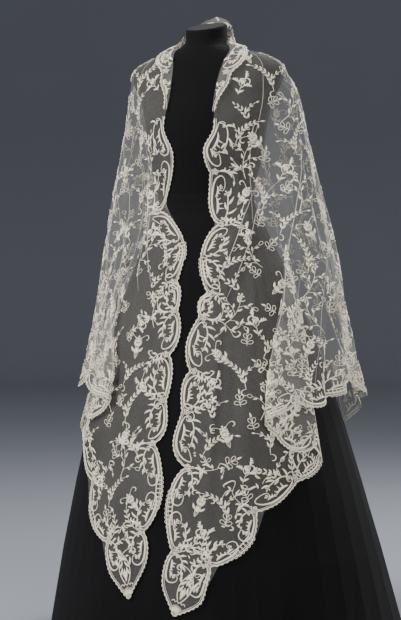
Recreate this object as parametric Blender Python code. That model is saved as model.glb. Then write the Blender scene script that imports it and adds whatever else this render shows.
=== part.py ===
"""Lace shawl with two long front points, worn over a limbless display form.

The shawl is one large triangle of net with a scalloped border. Its long edge runs round the
neck, where the border is turned over as a collar, and down both fronts to the points. The
third corner hangs at the back. At each side the cloth falls from the shoulder end in a deep
flat fold, in front of the arm space. The form is a neck, a bust and a long bell-shaped lower
part, all plain and closed, which stands on the floor.

Metres, +Z up. The wearer faces -Y, and the wearer's left is +X. The origin is on the floor
under the middle of the neck.
"""

import math

import bmesh
import bpy
import numpy as np
from mathutils import Vector
from mathutils.bvhtree import BVHTree
from mathutils.geometry import delaunay_2d_cdt
from mathutils.kdtree import KDTree

# Driving sizes of the shawl
CLOTH = 0.0012  # wall of the cloth
CLEARANCE = 0.0028  # between the form and the cloth that rests on it
LEAST_GAP = 0.0005  # that any face of the cloth keeps from a body it lies on
SEAM = 0.0004  # between neighbouring stretches of the cloth
COLLAR_LIFT = 0.0045  # the turned-over border stands this far off the cloth below
COLLAR_WIDTH = 0.046

# Sections of the form: an ellipse at each height, whose middle is set back from the neck's axis
FORM_COLUMNS = ("height", "half_width", "half_depth", "set_back")
NECK_TOP = 1.504
FORM = (
    (1.560, 0.050, 0.050, 0.004),
    (1.475, 0.051, 0.052, 0.004),
    (1.460, 0.060, 0.056, 0.005),
    (1.450, 0.085, 0.062, 0.006),
    (1.438, 0.125, 0.070, 0.007),
    (1.425, 0.165, 0.078, 0.008),
    (1.410, 0.190, 0.086, 0.009),
    (1.390, 0.200, 0.094, 0.009),
    (1.365, 0.193, 0.101, 0.008),
    (1.330, 0.172, 0.107, 0.005),
    (1.275, 0.157, 0.113, 0.000),
    (1.210, 0.147, 0.112, -0.003),
    (1.150, 0.134, 0.104, -0.003),
    (1.095, 0.121, 0.095, -0.001),
    (1.060, 0.126, 0.101, 0.001),
    (1.020, 0.145, 0.124, 0.006),
    (0.955, 0.172, 0.160, 0.018),
    (0.840, 0.217, 0.212, 0.030),
    (0.630, 0.290, 0.285, 0.055),
    (0.510, 0.325, 0.320, 0.066),
    (0.226, 0.398, 0.395, 0.100),
    (0.000, 0.450, 0.440, 0.130),
)
NECK_TILT = 0.34  # the top of the neck slopes down to the front, rise over run

# Distance from the axis that the cloth keeps where it hangs free, by height and by the angle
# from the front. Where the form is wider, the cloth rests on the form.
HANG_ANGLES = (0, 45, 68, 80, 92, 104, 120, 145, 180)
HANG = (
    # height, then a radius for each angle
    (1.560, 0.062, 0.062, 0.062, 0.062, 0.062, 0.062, 0.062, 0.062, 0.063),
    (1.470, 0.000, 0.050, 0.058, 0.060, 0.060, 0.062, 0.063, 0.064, 0.066),
    (1.440, 0.000, 0.050, 0.080, 0.080, 0.080, 0.080, 0.080, 0.080, 0.090),
    (1.400, 0.000, 0.080, 0.150, 0.178, 0.190, 0.188, 0.170, 0.130, 0.118),
    (1.330, 0.000, 0.114, 0.165, 0.187, 0.216, 0.229, 0.226, 0.180, 0.150),
    (1.210, 0.000, 0.112, 0.150, 0.170, 0.229, 0.247, 0.247, 0.214, 0.172),
    (1.080, 0.000, 0.106, 0.146, 0.174, 0.238, 0.264, 0.268, 0.244, 0.196),
    (0.960, 0.000, 0.140, 0.176, 0.203, 0.256, 0.289, 0.296, 0.280, 0.236),
    (0.840, 0.000, 0.190, 0.222, 0.242, 0.275, 0.312, 0.323, 0.316, 0.280),
    (0.740, 0.000, 0.220, 0.246, 0.262, 0.292, 0.333, 0.350, 0.350, 0.325),
    (0.630, 0.000, 0.250, 0.272, 0.286, 0.308, 0.350, 0.380, 0.388, 0.374),
    (0.520, 0.000, 0.280, 0.300, 0.314, 0.334, 0.372, 0.404, 0.424, 0.418),
    (0.300, 0.000, 0.300, 0.340, 0.370, 0.400, 0.430, 0.450, 0.480, 0.486),
    (0.000, 0.000, 0.400, 0.430, 0.445, 0.465, 0.495, 0.520, 0.555, 0.575),
)

# The free front edge, through the crests of its scallops: distance from the centre front
EDGE_COLUMNS = ("height", "from_centre")
FRONT_EDGE = {
    "left": ((1.56, 0.030), (1.40, 0.048), (1.25, 0.064), (1.19, 0.043), (1.09, 0.048), (0.94, 0.050),
             (0.83, 0.060), (0.727, 0.042), (0.60, 0.040), (0.50, 0.030), (0.34, 0.025), (0.20, 0.024),
             (0.12, 0.052)),
    "right": ((1.56, 0.030), (1.40, 0.020), (1.33, 0.036), (1.26, 0.060), (1.19, 0.036), (1.11, 0.044),
              (1.04, 0.026),
              (0.94, -0.015), (0.85, -0.016), (0.775, -0.025), (0.65, -0.014), (0.50, -0.012),
              (0.40, -0.012), (0.25, 0.014), (0.15, 0.058)),
}
LAPEL_END = {"left": 1.250, "right": 1.262}

# The fold line of the collar, from the lapel's end round to the back of the neck
FOLD_LINE = {
    "left": ((30, 1.250), (32, 1.303), (37, 1.356), (46, 1.404), (61, 1.441), (81, 1.469), (120, 1.500),
             (150, 1.530), (180, 1.544)),
    "right": ((28, 1.262), (26, 1.330), (30, 1.390), (43, 1.436), (62, 1.468), (90, 1.486), (125, 1.506),
              (150, 1.530), (180, 1.544)),
}

# The deep side fold. Swing is how far, as an angle, the cloth turns back over itself.
FOLD_COLUMNS = ("height", "middle_angle", "swing")
FOLD_AT = 0.30  # its middle, as a share of the way from the front edge to the middle of the back
FOLD_HALF = 0.045  # half of its width, as such a share
FOLD_LIFT = 0.026  # between the first and the last of its three layers
FOLD_TOP = 1.30  # height at which the layers start to part
FOLD_TURN = 0.30  # how long each turn is, as a share of that half width
FOLD_TURN_AT = 0.80  # where its two turns are, as such a share, below the height where it starts
FOLD_STARTS = 1.20
FAN = 0.75  # below 1, more of a front's width lies near its free edge
SIDE_FOLD = {
    "left": ((1.56, 96, 0), (1.40, 94, 0), (1.21, 90, 0), (1.08, 86, 2), (0.96, 82, 6), (0.84, 77, 12),
             (0.74, 72, 17), (0.63, 67, 20), (0.50, 64, 21), (0.10, 62, 21)),
    "right": ((1.56, 96, 0), (1.40, 92, 0), (1.21, 84, 0), (1.08, 77, 2), (0.96, 70, 7), (0.84, 62, 14),
              (0.74, 56, 20), (0.63, 51, 24), (0.50, 50, 24), (0.10, 49, 24)),
}

# Height of the hem, through the crests of its scallops, by the share of the way round
HEM_SHARES = (0.0, 0.05, 0.08, 0.115, 0.17, 0.195, 0.225, 0.262, 0.30, 0.345, 0.42, 0.50, 0.62,
              0.68, 0.74, 0.81, 0.90, 1.0)
HEM = {
    "left": (0.119, 0.150, 0.195, 0.232, 0.290, 0.355, 0.410, 0.460, 0.490, 0.566, 0.595, 0.625, 0.605,
             0.590, 0.555, 0.470, 0.315, 0.190),
    "right": (0.149, 0.182, 0.200, 0.228, 0.282, 0.335, 0.468, 0.525, 0.552, 0.602, 0.632, 0.655, 0.625,
              0.595, 0.555, 0.470, 0.315, 0.190),
}

# Hanging folds of the sides and the back: a ridge or, where the rise is below 0, a trough
RIDGE_COLUMNS = ("share_round", "half_width", "rise_at_hem", "starts_at_height")
RIDGES = (
    (0.405, 0.016, 0.016, 1.38),
    (0.437, 0.015, -0.012, 1.38),
    (0.470, 0.017, 0.018, 1.40),
    (0.505, 0.016, -0.014, 1.36),
    (0.540, 0.018, 0.017, 1.40),
    (0.580, 0.020, -0.014, 1.34),
    (0.622, 0.020, 0.015, 1.38),
    (0.670, 0.024, -0.012, 1.30),
    (0.722, 0.024, 0.014, 1.36),
    (0.780, 0.026, -0.010, 1.25),
    (0.835, 0.026, 0.012, 1.33),
    (0.895, 0.028, -0.008, 1.20),
    (0.955, 0.028, 0.010, 1.30),
)

# Soft folds that run slantwise over each front, from the waist down towards the front edge
GATHER_COLUMNS = ("top_height", "top_angle", "low_height", "low_angle", "half_width", "rise")
GATHERS = {
    "left": ((1.15, 88, 0.84, 36, 6.0, 0.012), (1.11, 72, 0.88, 30, 6.5, 0.011),
             (0.80, 30, 0.30, 24, 5.0, 0.006), (0.75, 46, 0.42, 40, 5.0, 0.006)),
    "right": ((1.19, 76, 0.86, 34, 6.0, 0.012), (1.10, 60, 0.88, 22, 6.5, 0.010),
              (0.86, 30, 0.45, 24, 5.0, 0.008), (0.70, 12, 0.30, 18, 5.0, 0.005)),
}

# Scallops. A row gives where a notch lies and how deep it is cut from the line of the crests.
FRONT_NOTCHES = {  # height, depth
    "left": ((0.119, 0.0), (0.266, 0.022), (0.457, 0.040), (0.582, 0.008), (0.674, 0.018), (0.801, 0.010),
             (0.854, 0.022), (1.021, 0.034), (1.141, 0.012), (1.250, 0.004)),
    "right": ((0.149, 0.0), (0.300, 0.030), (0.506, 0.030), (0.605, 0.008), (0.708, 0.018), (0.815, 0.008),
              (0.880, 0.014), (1.071, 0.056), (1.262, 0.004)),
}
HEM_NOTCHES = (  # distance along the hem from the front point, depth
    (0.000, 0.000),
    (0.150, 0.030),
    (0.320, 0.030),
    (0.435, 0.012),
    (0.560, 0.024),
    (0.680, 0.012),
    (0.820, 0.024),
    (0.930, 0.012),
    (1.060, 0.024),
    (1.170, 0.012),
    (1.300, 0.024),
    (1.410, 0.012),
    (1.540, 0.026),
    (1.660, 0.014),
    (1.790, 0.026),
    (1.920, 0.014),
    (2.060, 0.026),
)
COLLAR_NOTCH_PITCH, COLLAR_NOTCH_DEPTH = 0.085, 0.010
SCALLOP_ROUNDNESS = 0.62  # 1 is a plain sine arch, and less is fuller
BACK_POINT = 0.195  # height of the hem in the middle of the back, the same for both halves

# Openwork: a row of bars and holes inside the edge of some scallops
HOLE_LENGTH, HOLE_WIDTH, HOLE_PITCH = 0.0068, 0.0050, 0.0098
HOLE_INSET = 0.0085  # from the scalloped edge to the middle of the holes
HOLES_IN_A_ROW = 7
FRONT_LADDERS = {"left": ((0.915, 5), (0.365, 8)), "right": ((0.955, 5), (0.395, 8))}  # height, holes
HEM_LADDERS = (0.235, 0.495, 0.745, 0.990, 1.235, 1.475, 1.720)  # distance along the hem

# How finely the cloth is divided
EDGE_STEP = 0.022  # along a scalloped edge
SHOULDER_ROWS = (1.535, 1.515, 1.495, 1.478, 1.464, 1.452, 1.440, 1.428, 1.414, 1.398, 1.378, 1.352, 1.318,
                 1.280, 1.235)
ROW_STEP = 0.070  # down the cloth, below the shoulder
FOLD_ROWS = (1.072, 1.048, 1.002, 0.978, 0.932, 0.908, 0.850)  # more rows where the side fold starts
FRONT_COLUMNS = 11  # from the free edge to the side fold
FOLD_OFFS = (-1.7, -1.3, -1.08, -0.93, -0.82, -0.71, -0.55, -0.3, 0.3, 0.55, 0.71, 0.82, 0.93, 1.08, 1.3, 1.7)
FOLD_LONG = (-1.7, -0.82, 0.82, 1.7)  # of these columns, the ones that run up to the shoulder
COLUMNS_TOP, FOLD_COLUMNS_TOP = 1.30, 1.14  # where the other columns of the cloth and the fold end
FORM_SIDES = 40

STRETCHES = {"front": (0.0, FOLD_AT), "side": (FOLD_AT, 0.56), "back": (0.56, 1.0)}
COLOURS = {"lace": (0.86, 0.83, 0.74, 1), "form": (0.012, 0.012, 0.014, 1), "cap": (0.03, 0.03, 0.034, 1)}
ROUGHNESS = {"lace": 0.85, "form": 0.9, "cap": 0.7}


def spline(knots, values):
    """A smooth curve through the values that never swings past them. Values may have columns."""
    x = np.asarray(knots, float)
    y = np.asarray(values, float)
    if x[0] > x[-1]:
        x, y = x[::-1], y[::-1]
    rise = np.diff(y, axis=0) / np.reshape(np.diff(x), (-1,) + (1,) * (y.ndim - 1))
    slope = np.zeros_like(y)
    slope[0], slope[-1] = rise[0], rise[-1]
    before, after = rise[:-1], rise[1:]
    same_way = before * after > 0
    total = np.where(same_way, before + after, 1.0)
    slope[1:-1] = np.where(same_way, 2 * before * after / total, 0.0)

    def at(where):
        where = np.clip(np.asarray(where, float), x[0], x[-1])
        i = np.clip(np.searchsorted(x, where, side="right") - 1, 0, len(x) - 2)
        shape = where.shape + (1,) * (y.ndim - 1)
        h = np.reshape(x[i + 1] - x[i], shape)
        t = np.reshape(where - x[i], shape) / h
        a, b = y[i], y[i + 1]
        return (
            a * (1 + 2 * t) * (1 - t) ** 2
            + slope[i] * h * t * (1 - t) ** 2
            + b * t * t * (3 - 2 * t)
            + slope[i + 1] * h * t * t * (t - 1)
        )

    return at


def ease(t):
    t = np.clip(t, 0.0, 1.0)
    return t * t * (3 - 2 * t)


form_section = spline([row[0] for row in FORM], [row[1:] for row in FORM])
hang_section = spline([row[0] for row in HANG], [row[1:] for row in HANG])


def form_radius(angle, height):
    """Distance from the axis to the form, at an angle in degrees from the front."""
    width, depth, back = np.moveaxis(form_section(height), -1, 0)
    s, c = np.sin(np.radians(angle)), np.cos(np.radians(angle))
    square = (s / width) ** 2 + (c / depth) ** 2
    linear = 2 * c * back / depth**2
    constant = (back / depth) ** 2 - 1
    return (-linear + np.sqrt(linear**2 - 4 * square * constant)) / (2 * square)


GRID_HEIGHTS = np.linspace(0.0, 1.56, 391)
GRID_ANGLES = np.linspace(0.0, 180.0, 181)


def rest_grid():
    """Radius of the cloth before its folds, on a grid of heights and angles."""
    by_height = hang_section(GRID_HEIGHTS)
    free = np.array([spline(HANG_ANGLES, row)(GRID_ANGLES) for row in by_height])
    angles, heights = np.meshgrid(GRID_ANGLES, GRID_HEIGHTS)
    held = form_radius(angles, heights)
    slope = np.gradient(held, GRID_HEIGHTS, axis=0)
    held = held + CLEARANCE * np.sqrt(1 + slope**2)
    blend = 0.006
    return 0.5 * (free + held + np.sqrt((free - held) ** 2 + blend**2))


def looked_up(grid, angle, height):
    """A value between the points of the grid. The two sides are alike."""
    a = np.clip(np.abs(angle), 0, 180) / 180 * (len(GRID_ANGLES) - 1)
    h = np.clip(height / GRID_HEIGHTS[-1], 0, 1) * (len(GRID_HEIGHTS) - 1)
    i = np.minimum(a.astype(int), len(GRID_ANGLES) - 2)
    j = np.minimum(h.astype(int), len(GRID_HEIGHTS) - 2)
    fa, fh = a - i, h - j
    low = grid[j, i] * (1 - fa) + grid[j, i + 1] * fa
    high = grid[j + 1, i] * (1 - fa) + grid[j + 1, i + 1] * fa
    return low * (1 - fh) + high * fh


REST = rest_grid()


def even_share(share):
    """The share at which a column stands in the even plane."""
    return np.where(share < FOLD_AT, FOLD_AT * (share / FOLD_AT) ** FAN, share)


class Half:
    """One half of the draped shawl, from its front edge to the middle of the back.

    A place on the cloth is its share of the way round from the front edge, and its height. In
    the laid-out plane X is the run along the cloth at one height, from the middle of the side
    fold, and Y is the height. The cloth is divided in an even plane, where X is the share.
    """

    def __init__(self, side):
        self.side = side
        self.sign = 1 if side == "left" else -1
        self.edge_from_centre = spline(*np.transpose(FRONT_EDGE[side]))
        fold = np.array(SIDE_FOLD[side], float)
        self.fold_middle = spline(fold[:, 0], fold[:, 1])
        self.fold_swing = spline(fold[:, 0], fold[:, 2])
        self.hem_height = spline(HEM_SHARES, HEM[side])
        self.fold_angle = spline(*np.transpose(FOLD_LINE[side])[::-1])
        self.shares = np.linspace(0, 1, 401)
        self.heights = np.linspace(0.05, 1.56, 303)
        points = self.place(self.shares[None, :], self.heights[:, None])
        runs = np.cumsum(np.linalg.norm(np.diff(points, axis=1), axis=2), axis=1)
        runs = np.pad(runs, ((0, 0), (1, 0)))
        self.runs = runs - runs[:, [int(round(FOLD_AT * 400))]]
        self.tops = np.array([self.top_of(share) for share in self.shares])
        hem = self.place(self.shares, self.hem_height(self.shares))
        self.along_hem = np.pad(np.cumsum(np.linalg.norm(np.diff(hem, axis=0), axis=1)), (1, 0))

    def edge_angle(self, height):
        """Angle of the front edge from the centre front, in degrees. Below 0 it has crossed it."""
        away = self.edge_from_centre(height)
        angle = np.zeros_like(away)
        for _ in range(6):
            radius = looked_up(REST, angle, height)
            angle = np.degrees(np.arcsin(np.clip(away / radius, -0.95, 0.95)))
        return angle

    def angle(self, share, height):
        edge, middle = self.edge_angle(height), self.fold_middle(height)
        front = edge + (middle - edge) * (np.clip(share, 0, 1) / FOLD_AT) ** FAN
        rear = middle + (180 - middle) * (share - FOLD_AT) / (1 - FOLD_AT)
        plain = np.where(share < FOLD_AT, front, rear)
        off = (share - FOLD_AT) / FOLD_HALF
        return plain - self.fold_swing(height) * off * np.exp((1 - off**2) / 2)

    def radius(self, share, angle, height):
        radius = looked_up(REST, angle, height)
        slack = radius - form_radius(np.abs(angle), height) - CLEARANCE
        off = (share - FOLD_AT) / FOLD_HALF
        turn = FOLD_TURN_AT * ease((FOLD_STARTS - height) / 0.45)
        width = FOLD_TURN * (2.6 - 1.6 * turn / FOLD_TURN_AT)
        turns = [ease((off - at + width) / (2 * width)) for at in (-turn, turn)]
        layers = (turns[0] + turns[1]) / 2 * (1 - ease((off - 2.5) / 4))
        radius = radius + FOLD_LIFT * layers * ease((FOLD_TOP - height) / 0.30)
        for middle, half, rise, start in RIDGES:
            fall = np.clip((start - height) / (start - 0.60), 0, 1.15)
            wave = rise * fall * np.exp(-(((share - middle) / half) ** 2))
            radius = radius + np.maximum(wave, -0.8 * np.maximum(slack, 0))
        for top, top_angle, low, low_angle, half, rise in GATHERS[self.side]:
            along = (top - height) / (top - low)
            line = top_angle + (low_angle - top_angle) * along
            strength = np.sin(np.pi * np.clip((along + 0.1) / 1.2, 0, 1)) ** 1.5
            on_front = 1 - ease((share - 0.17) / 0.05)
            radius = radius + rise * strength * on_front * np.exp(-(((angle - line) / half) ** 2))
        return radius

    def place(self, share, height):
        """The point of the cloth at a share of the way round and a height."""
        share, height = np.broadcast_arrays(np.asarray(share, float), np.asarray(height, float))
        angle = self.angle(share, height)
        radius = self.radius(share, angle, height)
        turn = np.radians(angle)
        return np.stack([self.sign * radius * np.sin(turn), -radius * np.cos(turn), height], axis=-1)

    def normal(self, share, height):
        """Outward normals of the smooth surface."""
        low, high = np.clip(share - 0.002, 0, 1), np.clip(share + 0.002, 0, 1)
        across = self.place(high, height) - self.place(low, height)
        along = self.place(share, height - 0.004) - self.place(share, height + 0.004)
        normal = np.cross(along, across) * self.sign
        return normal / np.linalg.norm(normal, axis=-1)[..., None]

    def top_of(self, share):
        """Height at which this share of the way round meets the collar's fold line."""
        low, high = LAPEL_END[self.side], FOLD_LINE[self.side][-1][1]
        for _ in range(30):
            middle = np.array((low + high) / 2)
            if self.angle(np.array(share), middle) > self.fold_angle(middle):
                low = float(middle)
            else:
                high = float(middle)
        return low

    def top(self, share):
        return np.interp(share, self.shares, self.tops)

    def laid(self, share, height):
        """Where a place on the cloth lies in the laid-out plane."""
        share, height = np.broadcast_arrays(np.asarray(share, float), np.asarray(height, float))
        i = np.clip(share * 400, 0, 399.9999)
        j = np.clip((height - 0.05) / 0.005, 0, 301.9999)
        i0, j0 = i.astype(int), j.astype(int)
        fi, fj = i - i0, j - j0
        low = self.runs[j0, i0] * (1 - fi) + self.runs[j0, i0 + 1] * fi
        high = self.runs[j0 + 1, i0] * (1 - fi) + self.runs[j0 + 1, i0 + 1] * fi
        return np.stack([low * (1 - fj) + high * fj, height], axis=-1)

    def taken_up(self, flat):
        """The share of the way round and the height of points in the laid-out plane."""
        run, height = np.moveaxis(np.asarray(flat, float), -1, 0)
        low, high = np.zeros_like(run), np.ones_like(run)
        for _ in range(32):
            share = (low + high) / 2
            beyond = self.laid(share, height)[..., 0] > run
            low, high = np.where(beyond, low, share), np.where(beyond, share, high)
        return (low + high) / 2, height

    def turned_over(self, share, width):
        """Places at a distance from the collar's fold line, square to it and away from the neck."""
        line = self.place(share, self.top(share))
        ahead = self.place(np.clip(share + 0.004, 0, 1), self.top(np.clip(share + 0.004, 0, 1)))
        behind = self.place(np.clip(share - 0.004, 0, 1), self.top(np.clip(share - 0.004, 0, 1)))
        away = np.cross(self.normal(share, self.top(share)), ahead - behind) * -self.sign
        away /= np.linalg.norm(away, axis=1)[:, None]
        ends = np.concatenate([away[:1].repeat(3, axis=0), away, away[-2:-5:-1] * [-1, 1, 1]])
        away = np.mean([ends[k : k + len(away)] for k in range(7)], axis=0)
        away /= np.linalg.norm(away, axis=1)[:, None]
        reach = width.copy()
        for _ in range(6):
            aim = line + away * reach[:, None]
            angle = np.degrees(np.arctan2(aim[:, 0] * self.sign, -aim[:, 1]))
            low, high = np.zeros_like(angle), np.ones_like(angle)
            for _ in range(24):
                middle = (low + high) / 2
                beyond = self.angle(middle, aim[:, 2]) > np.where(angle < -90, 180, angle)
                low, high = np.where(beyond, low, middle), np.where(beyond, middle, high)
            found = self.place(middle, aim[:, 2])
            far = np.linalg.norm(found - line, axis=1)
            reach *= np.clip(width / np.maximum(far, 1e-5), 0.5, 2)
        return middle, aim[:, 2]

    def even(self, laid):
        """Laid-out points in the even plane."""
        share, height = self.taken_up(laid)
        return np.stack([even_share(share), height], axis=-1)

    def of_even(self, points):
        """The share of the way round and the height of points in the even plane."""
        x, height = np.moveaxis(points, -1, 0)
        front = FOLD_AT * (np.clip(x, 0, 1) / FOLD_AT) ** (1 / FAN)
        return np.where(x < FOLD_AT, front, np.clip(x, 0, 1)), height

    def edge(self, height):
        """The scalloped front edge, laid out, at some heights."""
        height = np.asarray(height, float)
        flat = self.laid(0.0, height)
        flat[..., 0] += scallop_depth(height, FRONT_NOTCHES[self.side])
        return flat

    def hem(self, along):
        """The scalloped hem, laid out, at some distances along it from the front point."""
        share = np.interp(along, self.along_hem, self.shares)
        return self.laid(share, self.hem_height(share) + scallop_depth(along, HEM_NOTCHES))


def scallop_depth(where, notches):
    """How far the edge is cut back at a place, from rows of (place, depth) in rising order."""
    places = [n[0] for n in notches]
    depths = [n[1] for n in notches]
    i = np.clip(np.searchsorted(places, where) - 1, 0, len(places) - 2)
    a, b = np.take(places, i), np.take(places, i + 1)
    t = np.clip((where - a) / (b - a), 0, 1)
    ends = np.take(depths, i) * (1 - t) + np.take(depths, i + 1) * t
    return ends * (1 - np.sin(np.pi * t) ** SCALLOP_ROUNDNESS)


def steps(start, end, step, exact=()):
    """Even steps from start to end that also stop at the exact places between them."""
    stops = sorted({start, end, *[e for e in exact if min(start, end) < e < max(start, end)]})
    if start > end:
        stops = stops[::-1]
    found = []
    for a, b in zip(stops, stops[1:]):
        count = max(1, math.ceil(abs(b - a) / step))
        found += [a + (b - a) * k / count for k in range(count)]
    return np.array([*found, stops[-1]])


def row_heights(low, high, share):
    """Heights of the rows between two heights, from the top down, in one column."""
    rows = [*SHOULDER_ROWS, *np.arange(SHOULDER_ROWS[-1] - ROW_STEP, low, -ROW_STEP)]
    if abs(share - FOLD_AT) < 1.5 * FOLD_HALF:
        rows += FOLD_ROWS
    return sorted([h for h in rows if low < h < high], reverse=True)


def ladder_holes(half):
    """Middles and directions, laid out, of the holes in the openwork of both edges."""
    rows = [(*row, half.edge) for row in FRONT_LADDERS[half.side]]
    rows += [(middle, HOLES_IN_A_ROW, half.hem) for middle in HEM_LADDERS]
    found = []
    for middle, count, edge in rows:
        for k in range(count):
            at = middle + (k - (count - 1) / 2) * HOLE_PITCH
            here, ahead = edge(np.array([at - 0.004, at + 0.004]))
            along = (ahead - here) / np.linalg.norm(ahead - here)
            inward = np.array([-along[1], along[0]])
            if edge == half.edge:
                inward = -inward
            found.append(((here + ahead) / 2 + inward * HOLE_INSET, along))
    return found


def hole_outline(middle, along):
    """The four corners of one hole."""
    across = np.array([-along[1], along[0]])
    corners = ((-0.5, -0.5), (0.5, -0.5), (0.5, 0.5), (-0.5, 0.5))
    return np.array([middle + along * HOLE_WIDTH * a + across * HOLE_LENGTH * c for a, c in corners])


def inside(points, outline):
    """Which of the points lie inside a closed outline."""
    found = np.zeros(len(points), bool)
    a, b = outline, np.roll(outline, -1, axis=0)
    for (ax, ay), (bx, by) in zip(a, b):
        crosses = (ay > points[:, 1]) != (by > points[:, 1])
        with np.errstate(divide="ignore", invalid="ignore"):
            x = ax + (points[:, 1] - ay) / (by - ay) * (bx - ax)
        found ^= crosses & (points[:, 0] < x)
    return found


def distance_to(points, outline):
    """Distance from each point to a closed outline."""
    best = np.full(len(points), np.inf)
    for a, b in zip(outline, np.roll(outline, -1, axis=0)):
        d = b - a
        t = np.clip(((points - a) @ d) / max(d @ d, 1e-12), 0, 1)
        best = np.minimum(best, np.linalg.norm(points - a - t[:, None] * d, axis=1))
    return best


def stretch_outline(half, start, end):
    """Closed outline of the stretch between two shares of the way round, in the even plane."""
    first, last = np.interp([start, end], half.shares, half.along_hem)
    crests = np.interp([share for share, _ in columns_of(start, end)], half.shares, half.along_hem)
    hem = half.hem(steps(first, last, EDGE_STEP, [*[n[0] for n in HEM_NOTCHES], *crests]))
    if end == 1:
        hem[-1, 1] = BACK_POINT
    heights = row_heights(hem[-1, 1], float(half.top(end)), end)[::-1]
    far = half.laid(end, np.array([hem[-1, 1], *heights, float(half.top(end))]))
    shares = steps(end, start, 0.03)
    top = half.laid(shares, half.top(shares))
    if start > 0:
        heights = [float(half.top(start)), *row_heights(hem[0, 1], float(half.top(start)), start), hem[0, 1]]
        near = half.laid(start, np.array(heights))
    else:
        notches = [n[0] for n in FRONT_NOTCHES[half.side]]
        near = half.edge(steps(notches[-1], notches[0], EDGE_STEP, notches))
    if end < 1:
        far[:, 0] -= SEAM / 2
        hem[-1, 0] -= SEAM / 2
        top[0, 0] -= SEAM / 2
    if start > 0:
        near[:, 0] += SEAM / 2
        hem[0, 0] += SEAM / 2
        top[-1, 0] += SEAM / 2
    return half.even(np.concatenate([hem, far[1:-1], top, near[1:-1]]))


def stretch_holes(half, start, end):
    outline = stretch_outline(half, start, end)
    wanted = [half.even(hole_outline(*hole)) for hole in ladder_holes(half)]
    middles = np.array([hole.mean(axis=0) for hole in wanted])
    off = np.abs(half.of_even(middles)[0] - FOLD_AT) / FOLD_HALF
    fits = inside(middles, outline) & (distance_to(middles, outline) > 0.0045)
    fits &= np.abs(off - FOLD_TURN_AT) > 0.35
    return [hole for hole, ok in zip(wanted, fits) if ok]


def columns_of(start, end):
    """Columns inside a stretch as (share, top height). They follow the crests of the folds."""
    front = FOLD_AT * (np.arange(1, FRONT_COLUMNS) / FRONT_COLUMNS) ** (1 / FAN)
    ridges = [row[0] for row in RIDGES]
    between = [(a + b) / 2 for a, b in zip(ridges, ridges[1:])]
    found = [(s, 1.56) for s in front if s < FOLD_AT + FOLD_HALF * FOLD_OFFS[0] - 0.012]
    for off in FOLD_OFFS:
        found.append((FOLD_AT + FOLD_HALF * off, 1.56 if off in FOLD_LONG else FOLD_COLUMNS_TOP))
    found += [(s, 1.56) for s in ridges] + [(s, COLUMNS_TOP) for s in between]
    return [(s, top) for s, top in sorted(found) if start < s < end]


def inner_points(half, start, end):
    """Places inside a stretch, in the even plane, in columns down the cloth."""
    found = []
    for share, top in columns_of(start, end):
        found += [half.laid(share, height) for height in row_heights(0.1, top, share)]
    return half.even(np.array(found))


def column_edges(flat, holes, columns):
    """Edges that hold the triangles to the columns, where no hole is in the way."""
    found = []
    for share, _ in columns:
        x = even_share(share)
        on = np.flatnonzero(np.abs(flat[:, 0] - x) < 1e-6)
        on = on[np.argsort(flat[on, 1])]
        beside = [h for h in holes if h[:, 0].min() - 0.002 < x < h[:, 0].max() + 0.002]
        for a, b in zip(on, on[1:]):
            blocked = any(h[:, 1].max() > flat[a, 1] and h[:, 1].min() < flat[b, 1] for h in beside)
            if not blocked:
                found.append((int(a), int(b)))
    return found


def cloth_panel(half, start, end):
    """Places (share, height) and triangles of one stretch, holes and scallops cut out."""
    outline = stretch_outline(half, start, end)
    holes = stretch_holes(half, start, end)
    inner = inner_points(half, start, end)
    keep = inside(inner, outline) & (distance_to(inner, outline) > 0.006)
    for hole in holes:
        keep &= np.linalg.norm(inner - hole.mean(axis=0), axis=1) > 0.012
    loops = [outline, *holes]
    flat = np.concatenate([*loops, inner[keep]])
    edges, first = [], 0
    for loop in loops:
        n = len(loop)
        edges += [(first + k, first + (k + 1) % n) for k in range(n)]
        first += n
    edges += column_edges(flat, holes, columns_of(start, end))
    made = delaunay_2d_cdt([tuple(p) for p in flat], edges, [], 0, 1e-6)
    points, faces = np.array([tuple(v) for v in made[0]]), np.array([list(f) for f in made[2]])
    middles = points[faces].mean(axis=1)
    wanted = inside(middles, outline)
    for hole in holes:
        wanted &= ~inside(middles, hole)
    faces = faces[wanted]
    turned = np.cross(points[faces[:, 1]] - points[faces[:, 0]], points[faces[:, 2]] - points[faces[:, 0]])
    faces[turned < 0] = faces[turned < 0][:, ::-1]
    return *half.of_even(points), faces


def walled(name, points, normals, faces):
    """A closed wall: the faces, the same faces moved out by the cloth's thickness, and a rim."""
    mesh = bmesh.new()
    inner = [mesh.verts.new(p) for p in points]
    for f in faces:
        mesh.faces.new([inner[i] for i in f])
    out = {v: mesh.verts.new(p + n * CLOTH) for v, p, n in zip(inner, points, normals)}
    for face in list(mesh.faces):
        mesh.faces.new([out[v] for v in face.verts])
        face.normal_flip()
    for edge in [e for e in mesh.edges if e.is_boundary and e.verts[0] in out]:
        loop = edge.link_loops[0]
        a, b = loop.vert, loop.link_loop_next.vert
        # Both sides of a seam are split along the same diagonal, from the higher inner corner.
        if b.co.z > a.co.z:
            mesh.faces.new([b, a, out[a]])
            mesh.faces.new([b, out[a], out[b]])
        else:
            mesh.faces.new([b, a, out[b]])
            mesh.faces.new([a, out[a], out[b]])
    bmesh.ops.delete(mesh, geom=[v for v in mesh.verts if not v.link_faces], context="VERTS")
    return solid(name, mesh, "lace")


def solid(name, mesh, finish):
    data = bpy.data.meshes.new(name)
    mesh.to_mesh(data)
    mesh.free()
    data.materials.append(material(finish))
    obj = bpy.data.objects.new(name, data)
    bpy.context.scene.collection.objects.link(obj)
    data.shade_smooth()
    data.set_sharp_from_angle(angle=math.radians(40))
    return obj


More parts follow.
